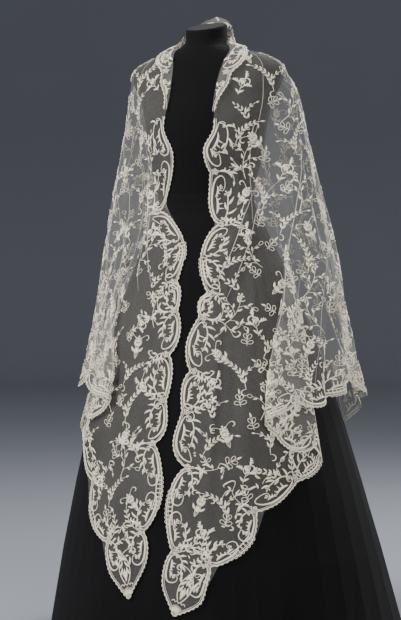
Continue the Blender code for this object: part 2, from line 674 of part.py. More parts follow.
def material(finish):
    found = bpy.data.materials.get(finish)
    if found:
        return found
    made = bpy.data.materials.new(finish)
    made.use_nodes = True
    shader = made.node_tree.nodes["Principled BSDF"]
    shader.inputs["Base Color"].default_value = COLOURS[finish]
    shader.inputs["Roughness"].default_value = ROUGHNESS[finish]
    return made


def beside(points):
    """Pairs of points that lie across a seam from one another."""
    found = KDTree(len(points))
    for i, point in enumerate(points):
        found.insert(point, i)
    found.balance()
    pairs = []
    for i, point in enumerate(points):
        pairs += [(i, j) for _, j, _ in found.find_range(point, 4 * SEAM) if j > i]
    return pairs


def kept_clear(points, faces, tree, gap):
    """The points moved off the bodies in the tree, so that no face comes too near them."""
    points, faces = np.array(points), np.array(faces)
    pairs = beside(points)
    weights = [(a / 4, b / 4, (4 - a - b) / 4) for a in range(5) for b in range(5 - a)]
    for _ in range(14):
        push = np.zeros_like(points)
        moved = False
        for weight in weights:
            spots = np.einsum("k,nkc->nc", weight, points[faces])
            for face, spot in zip(faces, spots):
                near, normal, _, away = tree.find_nearest(spot, 0.02)
                if near is None:
                    continue
                outside = (Vector(spot) - near).dot(normal) > -0.6 * away
                short = gap - away if outside else gap + away
                if short <= 0:
                    continue
                moved = True
                for vertex in face:
                    if short > np.linalg.norm(push[vertex]):
                        push[vertex] = np.array(normal) * short
        if not moved:
            break
        for i, j in pairs:
            larger = max(push[i], push[j], key=np.linalg.norm).copy()
            push[i], push[j] = larger, larger
        points += push * 1.05
    return points


def tree_of(objects, sheets=()):
    """One search tree of several closed bodies and of the outer sides of some sheets."""
    vertices, polygons = [], []
    for points, faces in sheets:
        polygons += [[len(vertices) + i for i in face] for face in faces]
        vertices += [Vector(p) for p in points]
    for obj in objects:
        first = len(vertices)
        vertices += [v.co.copy() for v in obj.data.vertices]
        polygons += [[first + i for i in p.vertices] for p in obj.data.polygons]
    return BVHTree.FromPolygons(vertices, polygons)


def half_stretch(half, name):
    start, end = STRETCHES[name]
    share, height, faces = cloth_panel(half, start, end)
    if half.sign < 0:
        faces = faces[:, ::-1]
    return half.place(share, height), half.normal(share, height), faces


def back_panel(halves):
    """Both halves of the back as one wall, joined along the middle."""
    left, left_normals, left_faces = half_stretch(halves["left"], "back")
    right, right_normals, right_faces = half_stretch(halves["right"], "back")
    points = np.concatenate([left, right])
    normals = np.concatenate([left_normals, right_normals])
    middle = (np.abs(points[:, 0]) < 1e-3) & (points[:, 1] > 0)
    points[middle, 0], normals[middle, 0] = 0.0, 0.0
    faces = np.concatenate([left_faces, right_faces + len(left)])
    _, first, same = np.unique(np.round(points, 5), axis=0, return_index=True, return_inverse=True)
    return points[first], normals[first], same.reshape(-1)[faces]


def collar(halves):
    """The border turned over at the neck, from one lapel's end to the other."""
    columns = []
    for side in ("right", "left"):
        half = halves[side]
        line = half.place(half.shares, half.tops)
        run = np.pad(np.cumsum(np.linalg.norm(np.diff(line, axis=0), axis=1)), (1, 0))
        at = steps(0.012, run[-1], 0.0125)
        share = np.interp(at, run, half.shares)
        taper = ease(at / 0.16)
        notch = np.abs(np.cos(np.pi * (at - 0.03) / COLLAR_NOTCH_PITCH)) ** 3
        width = (COLLAR_WIDTH - COLLAR_NOTCH_DEPTH * notch) * (0.14 + 0.86 * taper)
        rows = []
        for part in (0.0, 0.12, 0.5, 1.0):
            where, height = half.turned_over(share, width * part + 1e-4)
            normal = half.normal(where, height)
            lift = CLOTH + 0.0010 + COLLAR_LIFT * math.sin(math.pi * min(1, part * 1.6) / 2)
            rows.append([half.place(where, height) + normal * lift, normal])
        columns.append(np.array(rows).transpose(2, 0, 1, 3))
    right, left = columns
    right[-1, :, :, 0] = 0.0
    strip = np.concatenate([right, left[::-1][1:]])
    count, deep = strip.shape[:2]
    faces = []
    for i in range(count - 1):
        for j in range(deep - 1):
            a, b = i * deep + j, (i + 1) * deep + j
            faces += [(a, b, b + 1), (a, b + 1, a + 1)]
    return strip[:, :, 0].reshape(-1, 3), strip[:, :, 1].reshape(-1, 3), faces


def form_piece(name, heights, finish, top=None):
    """A closed turned piece of the form. The top may slope."""
    mesh = bmesh.new()
    angles = np.arange(FORM_SIDES) * 360 / FORM_SIDES
    folded = np.minimum(angles, 360 - angles)
    rings = []
    for height in heights:
        radius = form_radius(folded, np.full(FORM_SIDES, height))
        x, y = radius * np.sin(np.radians(angles)), -radius * np.cos(np.radians(angles))
        z = np.full(FORM_SIDES, height)
        if top is not None:
            sloped = top + NECK_TILT * y
            z = np.where(height >= top, sloped, z)
        rings.append([mesh.verts.new(p) for p in zip(x, y, z)])
    for low, high in zip(rings, rings[1:]):
        for k in range(FORM_SIDES):
            n = (k + 1) % FORM_SIDES
            mesh.faces.new([low[k], low[n], high[n], high[k]])
    mesh.faces.new(rings[0][::-1])
    mesh.faces.new(rings[-1])
    bmesh.ops.recalc_face_normals(mesh, faces=mesh.faces)
    return solid(name, mesh, finish)


def neck_cap():
    """The plain oval plate that closes the neck."""
    mesh = bmesh.new()
    inset, thick, gap = 0.0015, 0.004, 0.0004
    angles = np.radians(np.arange(FORM_SIDES) * 360 / FORM_SIDES)
    radius = form_radius(np.degrees(np.minimum(angles, 2 * np.pi - angles)), np.full(FORM_SIDES, NECK_TOP))
    rings = []
    for rise, shrink in ((gap, inset), (gap + thick * 0.6, inset), (gap + thick, inset + 0.002)):
        x, y = (radius - shrink) * np.sin(angles), -(radius - shrink) * np.cos(angles)
        z = NECK_TOP + NECK_TILT * y + rise
        rings.append([mesh.verts.new(p) for p in zip(x, y, z)])
    for low, high in zip(rings, rings[1:]):
        for k in range(FORM_SIDES):
            n = (k + 1) % FORM_SIDES
            mesh.faces.new([low[k], low[n], high[n], high[k]])
    mesh.faces.new(rings[0][::-1])
    mesh.faces.new(rings[-1])
    bmesh.ops.recalc_face_normals(mesh, faces=mesh.faces)
    return solid("neck_cap", mesh, "cap")


def build():
    for obj in list(bpy.data.objects):
        bpy.data.objects.remove(obj)
    torso = (1.0953, 1.125, 1.16, 1.205, 1.245, 1.275, 1.305, 1.33, 1.355, 1.375, 1.39, 1.402, 1.414, 1.424,
             1.434, 1.442, 1.45, 1.457, 1.465, 1.475, NECK_TOP)
    skirt = (0.0, 0.226, 0.40, 0.54, 0.66, 0.75, 0.84, 0.90, 0.955, 0.99, 1.02, 1.045, 1.07, 1.095)
    form = [
        form_piece("form_torso", torso, "form", top=NECK_TOP),
        form_piece("form_skirt", skirt, "form"),
        neck_cap(),
    ]
    halves = {side: Half(side) for side in ("left", "right")}
    panels = {"back": back_panel(halves)}
    for side, half in halves.items():
        panels[f"front_{side}"] = half_stretch(half, "front")
        panels[f"side_{side}"] = half_stretch(half, "side")
    starts = np.cumsum([0, *[len(points) for points, _, _ in panels.values()]])
    points = np.concatenate([points for points, _, _ in panels.values()])
    faces = np.concatenate([faces + first for first, (_, _, faces) in zip(starts, panels.values())])
    points = kept_clear(points, faces, tree_of(form), LEAST_GAP)
    outer = []
    for first, (name, (plain, normals, faces)) in zip(starts, panels.items()):
        moved = points[first : first + len(plain)]
        walled(name, moved, normals, faces)
        outer.append((moved + normals * CLOTH, faces))
    points, normals, faces = collar(halves)
    walled("collar", kept_clear(points, faces, tree_of(form, outer), 1.6 * LEAST_GAP), normals, faces)


build()
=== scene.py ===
"""Ivory lace shawl on a black display form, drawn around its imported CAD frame.

The shawl is cotton net with dense lace motifs: scalloped borders with scrolls, leaves and
rosettes, and leafy sprays over the ground. Metres, +Z up, the wearer faces -Y.
"""

import math

import bpy
import numpy as np
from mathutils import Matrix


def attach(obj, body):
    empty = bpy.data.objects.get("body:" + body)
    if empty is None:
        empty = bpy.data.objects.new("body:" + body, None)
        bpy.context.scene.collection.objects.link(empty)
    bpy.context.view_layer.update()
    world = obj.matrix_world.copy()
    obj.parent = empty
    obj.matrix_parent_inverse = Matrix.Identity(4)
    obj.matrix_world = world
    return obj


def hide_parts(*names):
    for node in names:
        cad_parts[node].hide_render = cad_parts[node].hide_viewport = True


bl_info = {
    "name": "Lace shawl on a display form",
    "version": (1, 0, 0),
    "blender": (4, 5, 0),
    "location": "View3D > Sidebar > Shawl",
    "description": "Draws a draped lace shawl, its motifs, its form and a plain stage",
    "category": "Add Mesh",
}

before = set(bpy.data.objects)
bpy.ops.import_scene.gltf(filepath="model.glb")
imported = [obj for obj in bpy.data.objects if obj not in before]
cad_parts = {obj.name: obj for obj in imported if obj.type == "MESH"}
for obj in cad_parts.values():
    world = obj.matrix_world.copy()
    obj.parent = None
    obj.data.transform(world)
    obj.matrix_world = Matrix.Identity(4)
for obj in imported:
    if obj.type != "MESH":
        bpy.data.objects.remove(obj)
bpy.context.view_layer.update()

# Cloth
CLOTH = 0.0012
CLEARANCE = 0.0028
NET_LIFT = 0.0003  # of the net over the inner side of the wall
LACE_LIFT = 0.0006  # of the motifs' lower side
COLLAR_LIFT = 0.0045
COLLAR_WIDTH = 0.046
NET_COLUMNS, NET_ROWS = 210, 150  # of one half of the shawl
COLLAR_ROWS = 12

# Sections of the form: an ellipse at each height, whose middle is set back from the neck's axis
FORM = (  # height, half width, half depth, set back
    (1.560, 0.050, 0.050, 0.004),
    (1.475, 0.051, 0.052, 0.004),
    (1.460, 0.060, 0.056, 0.005),
    (1.450, 0.085, 0.062, 0.006),
    (1.438, 0.125, 0.070, 0.007),
    (1.425, 0.165, 0.078, 0.008),
    (1.410, 0.190, 0.086, 0.009),
    (1.390, 0.200, 0.094, 0.009),
    (1.365, 0.193, 0.101, 0.008),
    (1.330, 0.172, 0.107, 0.005),
    (1.275, 0.157, 0.113, 0.000),
    (1.210, 0.147, 0.112, -0.003),
    (1.150, 0.134, 0.104, -0.003),
    (1.095, 0.121, 0.095, -0.001),
    (1.060, 0.126, 0.101, 0.001),
    (1.020, 0.145, 0.124, 0.006),
    (0.955, 0.172, 0.160, 0.018),
    (0.840, 0.217, 0.212, 0.030),
    (0.630, 0.290, 0.285, 0.055),
    (0.510, 0.325, 0.320, 0.066),
    (0.226, 0.398, 0.395, 0.100),
    (0.000, 0.450, 0.440, 0.130),
)

# Distance from the axis that the cloth keeps where it hangs free, by height and by the angle
# from the front. Where the form is wider, the cloth rests on the form.
HANG_ANGLES = (0, 45, 68, 80, 92, 104, 120, 145, 180)
HANG = (  # height, then a radius for each angle
    (1.560, 0.062, 0.062, 0.062, 0.062, 0.062, 0.062, 0.062, 0.062, 0.063),
    (1.470, 0.000, 0.050, 0.058, 0.060, 0.060, 0.062, 0.063, 0.064, 0.066),
    (1.440, 0.000, 0.050, 0.080, 0.080, 0.080, 0.080, 0.080, 0.080, 0.090),
    (1.400, 0.000, 0.080, 0.150, 0.178, 0.190, 0.188, 0.170, 0.130, 0.118),
    (1.330, 0.000, 0.114, 0.165, 0.187, 0.216, 0.229, 0.226, 0.180, 0.150),
    (1.210, 0.000, 0.112, 0.150, 0.170, 0.229, 0.247, 0.247, 0.214, 0.172),
    (1.080, 0.000, 0.106, 0.146, 0.174, 0.238, 0.264, 0.268, 0.244, 0.196),
    (0.960, 0.000, 0.140, 0.176, 0.203, 0.256, 0.289, 0.296, 0.280, 0.236),
    (0.840, 0.000, 0.190, 0.222, 0.242, 0.275, 0.312, 0.323, 0.316, 0.280),
    (0.740, 0.000, 0.220, 0.246, 0.262, 0.292, 0.333, 0.350, 0.350, 0.325),
    (0.630, 0.000, 0.250, 0.272, 0.286, 0.308, 0.350, 0.380, 0.388, 0.374),
    (0.520, 0.000, 0.280, 0.300, 0.314, 0.334, 0.372, 0.404, 0.424, 0.418),
    (0.300, 0.000, 0.300, 0.340, 0.370, 0.400, 0.430, 0.450, 0.480, 0.486),
    (0.000, 0.000, 0.400, 0.430, 0.445, 0.465, 0.495, 0.520, 0.555, 0.575),
)

# The free front edge, through the crests of its scallops: distance from the centre front
FRONT_EDGE = {  # height, distance
    "left": ((1.56, 0.030), (1.40, 0.048), (1.25, 0.064), (1.19, 0.043), (1.09, 0.048), (0.94, 0.050),
             (0.83, 0.060), (0.727, 0.042), (0.60, 0.040), (0.50, 0.030), (0.34, 0.025), (0.20, 0.024),
             (0.12, 0.052)),
    "right": ((1.56, 0.030), (1.40, 0.020), (1.33, 0.036), (1.26, 0.060), (1.19, 0.036), (1.11, 0.044),
              (1.04, 0.026), (0.94, -0.015), (0.85, -0.016), (0.775, -0.025), (0.65, -0.014),
              (0.50, -0.012), (0.40, -0.012), (0.25, 0.014), (0.15, 0.058)),
}
LAPEL_END = {"left": 1.250, "right": 1.262}

# The fold line of the collar, from the lapel's end round to the back of the neck
FOLD_LINE = {  # angle, height
    "left": ((30, 1.250), (32, 1.303), (37, 1.356), (46, 1.404), (61, 1.441), (81, 1.469), (120, 1.500),
             (150, 1.530), (180, 1.544)),
    "right": ((28, 1.262), (26, 1.330), (30, 1.390), (43, 1.436), (62, 1.468), (90, 1.486), (125, 1.506),
              (150, 1.530), (180, 1.544)),
}

# The deep side fold. Swing is how far, as an angle, the cloth turns back over itself.
FOLD_AT = 0.30  # its middle, as a share of the way from the front edge to the middle of the back
FOLD_HALF = 0.045  # half of its width, as such a share
FOLD_LIFT = 0.026  # between the first and the last of its three layers
FOLD_TOP = 1.30  # height at which the layers start to part
FOLD_TURN = 0.30  # how long each turn is, as a share of that half width
FOLD_TURN_AT = 0.80  # where its two turns are, as such a share, below the height where it starts
FOLD_STARTS = 1.20
FOLD_SPREAD, FOLD_OPENING = 0.45, 0.30  # heights over which its turns and its layers part
FAN = 0.75  # below 1, more of a front's width lies near its free edge
SIDE_FOLD = {  # height, angle of its middle, swing
    "left": ((1.56, 96, 0), (1.40, 94, 0), (1.21, 90, 0), (1.08, 86, 2), (0.96, 82, 6), (0.84, 77, 12),
             (0.74, 72, 17), (0.63, 67, 20), (0.50, 64, 21), (0.10, 62, 21)),
    "right": ((1.56, 96, 0), (1.40, 92, 0), (1.21, 84, 0), (1.08, 77, 2), (0.96, 70, 7), (0.84, 62, 14),
              (0.74, 56, 20), (0.63, 51, 24), (0.50, 50, 24), (0.10, 49, 24)),
}

# Height of the hem, through the crests of its scallops, by the share of the way round
HEM_SHARES = (0.0, 0.05, 0.08, 0.115, 0.17, 0.195, 0.225, 0.262, 0.30, 0.345, 0.42, 0.50, 0.62,
              0.68, 0.74, 0.81, 0.90, 1.0)
HEM = {
    "left": (0.119, 0.150, 0.195, 0.232, 0.290, 0.355, 0.410, 0.460, 0.490, 0.566, 0.595, 0.625, 0.605,
             0.590, 0.555, 0.470, 0.315, 0.190),
    "right": (0.149, 0.182, 0.200, 0.228, 0.282, 0.335, 0.468, 0.525, 0.552, 0.602, 0.632, 0.655, 0.625,
              0.595, 0.555, 0.470, 0.315, 0.190),
}

# Hanging folds of the sides and the back: a ridge or, where the rise is below 0, a trough
RIDGE_FOOT = 0.60  # height at which they have their full rise
RIDGES = (  # share of the way round, half width, rise at the foot, height where it starts
    (0.405, 0.016, 0.016, 1.38),
    (0.437, 0.015, -0.012, 1.38),
    (0.470, 0.017, 0.018, 1.40),
    (0.505, 0.016, -0.014, 1.36),
    (0.540, 0.018, 0.017, 1.40),
    (0.580, 0.020, -0.014, 1.34),
    (0.622, 0.020, 0.015, 1.38),
    (0.670, 0.024, -0.012, 1.30),
    (0.722, 0.024, 0.014, 1.36),
    (0.780, 0.026, -0.010, 1.25),
    (0.835, 0.026, 0.012, 1.33),
    (0.895, 0.028, -0.008, 1.20),
    (0.955, 0.028, 0.010, 1.30),
)

# Soft folds that run slantwise over each front, from the waist down towards the front edge
GATHERS = {  # height and angle of its top, then of its end, half width in degrees, rise
    "left": ((1.15, 88, 0.84, 36, 6.0, 0.012), (1.11, 72, 0.88, 30, 6.5, 0.011),
             (0.80, 30, 0.30, 24, 5.0, 0.006), (0.75, 46, 0.42, 40, 5.0, 0.006)),
    "right": ((1.19, 76, 0.86, 34, 6.0, 0.012), (1.10, 60, 0.88, 22, 6.5, 0.010),
              (0.86, 30, 0.45, 24, 5.0, 0.008), (0.70, 12, 0.30, 18, 5.0, 0.005)),
}

# Scallops. A row gives where a notch lies and how deep it is cut from the line of the crests.
FRONT_NOTCHES = {  # height, depth
    "left": ((0.119, 0.0), (0.266, 0.022), (0.457, 0.040), (0.582, 0.008), (0.674, 0.018), (0.801, 0.010),
             (0.854, 0.022), (1.021, 0.034), (1.141, 0.012), (1.250, 0.004)),
    "right": ((0.149, 0.0), (0.300, 0.030), (0.506, 0.030), (0.605, 0.008), (0.708, 0.018), (0.815, 0.008),
              (0.880, 0.014), (1.071, 0.056), (1.262, 0.004)),
}
HEM_NOTCHES = (  # distance along the hem from the front point, depth
    (0.000, 0.000),
    (0.150, 0.030),
    (0.320, 0.030),
    (0.435, 0.012),
    (0.560, 0.024),
    (0.680, 0.012),
    (0.820, 0.024),
    (0.930, 0.012),
    (1.060, 0.024),
    (1.170, 0.012),
    (1.300, 0.024),
    (1.410, 0.012),
    (1.540, 0.026),
    (1.660, 0.014),
    (1.790, 0.026),
    (1.920, 0.014),
    (2.060, 0.026),
)
COLLAR_NOTCH_PITCH, COLLAR_NOTCH_DEPTH = 0.085, 0.010
SCALLOP_ROUNDNESS = 0.62  # 1 is a plain sine arch, and less is fuller

# Openwork at the crests of some scallops
LADDER_PITCH = 0.0098
FRONT_LADDERS = {"left": ((0.915, 5), (0.365, 8)), "right": ((0.955, 5), (0.395, 8))}  # height, bars
HEM_LADDERS = tuple((along, 7) for along in (0.235, 0.495, 0.745, 0.990, 1.235, 1.475, 1.720))

# Soft creases that are too slight for the solids
CREASES = (  # share of the way round, half width, rise, from height, to height
    (0.04, 0.01, 0.0022, 1.2, 0.7), (0.07, 0.008, 0.003, 1.02, 0.25),
    (0.105, 0.012, 0.0026, 0.8, 0.3), (0.135, 0.009, 0.003, 1.34, 0.95),
    (0.165, 0.01, 0.0034, 1.25, 0.6), (0.19, 0.007, 0.002, 1.1, 0.48),
    (0.215, 0.012, 0.003, 1.37, 1.02), (0.365, 0.008, 0.004, 1.36, 0.6),
    (0.385, 0.006, 0.003, 1.3, 0.9), (0.42, 0.008, 0.0034, 1.37, 0.75),
    (0.455, 0.006, 0.003, 1.2, 0.6), (0.49, 0.008, 0.0036, 1.38, 0.95),
    (0.525, 0.007, 0.003, 1.3, 0.62), (0.56, 0.009, 0.0038, 1.36, 0.7),
    (0.6, 0.007, 0.003, 1.22, 0.58), (0.645, 0.01, 0.0036, 1.38, 0.85),
    (0.69, 0.008, 0.0032, 1.25, 0.5), (0.75, 0.01, 0.0036, 1.38, 0.6),
    (0.81, 0.009, 0.003, 1.15, 0.42), (0.865, 0.011, 0.0036, 1.4, 0.8),
    (0.925, 0.01, 0.0032, 1.3, 0.3),
)

# Bright lines along folded edges
FOLD_LINES = (  # place round, from height, to height or None for the hem, width
    (0.212, 1.44, 1.02, 0.0014), (0.262, 1.22, None, 0.0018), (0.336, 1.42, None, 0.0018),
    (0.375, 1.44, 0.8, 0.001), (0.405, 1.44, 0.62, 0.0013), (0.47, 1.45, 0.7, 0.0014),
    (0.54, 1.45, 0.64, 0.0013), (0.622, 1.46, 0.74, 0.0012), (0.722, 1.44, 0.7, 0.0012),
    (0.835, 1.44, 0.6, 0.0012), (0.955, 1.4, 0.6, 0.0012),
)

# The scrolls of a scallop, as shares of its width and of the border's depth
BAND = (
    (0.115, 0.54), (0.075, 0.6), (0.045, 0.46), (0.065, 0.28), (0.16, 0.185), (0.34, 0.17),
    (0.56, 0.18), (0.76, 0.23), (0.89, 0.38), (0.925, 0.6), (0.86, 0.8), (0.74, 0.85),
    (0.645, 0.74), (0.655, 0.6), (0.73, 0.58), (0.745, 0.66),
)
INNER_STEM = ((0.06, 0.30), (0.10, 0.58), (0.20, 0.84), (0.36, 1.00), (0.52, 1.02), (0.60, 0.94))

FIELD_STEP_ACROSS, FIELD_STEP_UP = 0.084, 0.073  # between the sprays of the ground
BORDER_DEPTH = 0.062  # of the border, from the crests of the scallops
SCROLL_DEPTH = 0.044  # of the scrolls that fill its scallops
SCALLOP_SCROLL = 0.105  # about how much of an edge one set of scrolls takes up

# Stage. The floor is round, and its rim curves up into a wall that closes the view from every side.
FLOOR_REACH, FLOOR_BEND, WALL_TOP, FLOOR_SIDES = 13.0, 3.0, 9.0, 72
LAMPS = (  # name, size, share of the light's power, place
    ("key", 2.6, 1.0, (-2.6, -3.0, 3.2)),
    ("fill", 3.0, 0.45, (3.4, -2.6, 2.2)),
    ("rim", 2.0, 0.55, (1.6, 2.6, 3.4)),
)
LAMPS_AIM = (0.0, 0.1, 0.85)
WORLD_COLOUR, WORLD_STRENGTH = "#c9ccd2", 0.60

# The photo's view: turned to the form's left, level, with a long lens
PHOTO_WIDTH, PHOTO_HEIGHT = 401, 620
AIM_IN_PHOTO = (206, 307.7)  # the point of the photo that the camera looks straight at, in pixels
AZIMUTH = 24
CAMERA_HEIGHT = 0.82
LENS, SENSOR = 94.8, 36.0  # in millimetres


def spline(knots, values):
    """A smooth curve through the values that never swings past them. Values may have columns."""
    x = np.asarray(knots, float)
    y = np.asarray(values, float)
    if x[0] > x[-1]:
        x, y = x[::-1], y[::-1]
    rise = np.diff(y, axis=0) / np.reshape(np.diff(x), (-1,) + (1,) * (y.ndim - 1))
    slope = np.zeros_like(y)
    slope[0], slope[-1] = rise[0], rise[-1]
    before, after = rise[:-1], rise[1:]
    same_way = before * after > 0
    total = np.where(same_way, before + after, 1.0)
    slope[1:-1] = np.where(same_way, 2 * before * after / total, 0.0)

    def at(where):
        where = np.clip(np.asarray(where, float), x[0], x[-1])
        i = np.clip(np.searchsorted(x, where, side="right") - 1, 0, len(x) - 2)
        shape = where.shape + (1,) * (y.ndim - 1)
        h = np.reshape(x[i + 1] - x[i], shape)
        t = np.reshape(where - x[i], shape) / h
        a, b = y[i], y[i + 1]
        return (
            a * (1 + 2 * t) * (1 - t) ** 2
            + slope[i] * h * t * (1 - t) ** 2
            + b * t * t * (3 - 2 * t)
            + slope[i + 1] * h * t * t * (t - 1)
        )

    return at


def ease(t):
    """A smooth step from 0 to 1."""
    t = np.clip(t, 0.0, 1.0)
    return t * t * (3 - 2 * t)


form_section = spline([row[0] for row in FORM], [row[1:] for row in FORM])
hang_section = spline([row[0] for row in HANG], [row[1:] for row in HANG])


def form_radius(angle, height):
    """Distance from the axis to the form, at an angle in degrees from the front."""
    width, depth, back = np.moveaxis(form_section(height), -1, 0)
    s, c = np.sin(np.radians(angle)), np.cos(np.radians(angle))
    square = (s / width) ** 2 + (c / depth) ** 2
    linear = 2 * c * back / depth**2
    constant = (back / depth) ** 2 - 1
    return (-linear + np.sqrt(linear**2 - 4 * square * constant)) / (2 * square)


GRID_HEIGHTS = np.linspace(0.0, 1.56, 391)
GRID_ANGLES = np.linspace(0.0, 180.0, 181)


def rest_grid():
    """Radius of the cloth before its folds, on a grid of heights and angles."""
    by_height = hang_section(GRID_HEIGHTS)
    free = np.array([spline(HANG_ANGLES, row)(GRID_ANGLES) for row in by_height])
    angles, heights = np.meshgrid(GRID_ANGLES, GRID_HEIGHTS)
    held = form_radius(angles, heights)
    slope = np.gradient(held, GRID_HEIGHTS, axis=0)
    held = held + CLEARANCE * np.sqrt(1 + slope**2)
    blend = 0.006
    return 0.5 * (free + held + np.sqrt((free - held) ** 2 + blend**2))


def between(grid, row, column):
    """A value between the points of a grid, whose last two axes are its rows and columns."""
    j = np.minimum(row.astype(int), grid.shape[-2] - 2)
    i = np.minimum(column.astype(int), grid.shape[-1] - 2)
    across, up = column - i, row - j
    low = grid[..., j, i] * (1 - across) + grid[..., j, i + 1] * across
    high = grid[..., j + 1, i] * (1 - across) + grid[..., j + 1, i + 1] * across
    return low * (1 - up) + high * up


REST = rest_grid()


def rest_radius(angle, height):
    """Radius of the cloth before its folds. The two sides are alike."""
    column = np.clip(np.abs(angle), 0, 180) / 180 * (len(GRID_ANGLES) - 1)
    row = np.clip(height / GRID_HEIGHTS[-1], 0, 1) * (len(GRID_HEIGHTS) - 1)
    return between(REST, row, column)


def run_along(points):
    """Distances along a line of points, from its first one."""
    return np.pad(np.cumsum(np.linalg.norm(np.diff(points, axis=0), axis=1)), (1, 0))


def toward(heading):
    """A step of length 1 at a heading in degrees."""
    a = math.radians(heading)
    return np.array([math.cos(a), math.sin(a)])


class Surface:
    """A curved surface with places (x, h), on which lengths across and up can be walked."""

    def measure_up(self, xs, hs):
        """Prepares how long a step in x and in h is, over a grid of places."""
        self.xs, self.hs = xs, hs
        points = self.place(xs[None, :], hs[:, None])
        by_x = np.gradient(points, xs, axis=1)
        by_h = np.gradient(points, hs, axis=0)
        across = np.maximum(np.linalg.norm(by_x, axis=2), 1e-4)
        skew = np.sum(by_x * by_h, axis=2) / across
        upward = np.maximum(np.linalg.norm(by_h - by_x * (skew / across)[..., None], axis=2), 1e-3)
        self.lengths = np.stack([across, skew, upward])

    def measures(self, x, h):
        """Lengths of a step in x, of the slant of a step in h, and of its rise."""
        column = np.clip((x - self.xs[0]) / (self.xs[1] - self.xs[0]), 0, len(self.xs) - 1.0001)
        row = np.clip((h - self.hs[0]) / (self.hs[1] - self.hs[0]), 0, len(self.hs) - 1.0001)
        return between(self.lengths, row, column)

    def walk(self, x, h, across, up, count=8):
        """The place reached by going so far across and up the cloth."""
        x, h = np.array(x, float), np.array(h, float)
        for _ in range(count):
            wide, skew, tall = self.measures(x, h)
            rise = up / count / tall
            x = x + (across / count - skew * rise) / wide
            h = h + rise
        return x, h


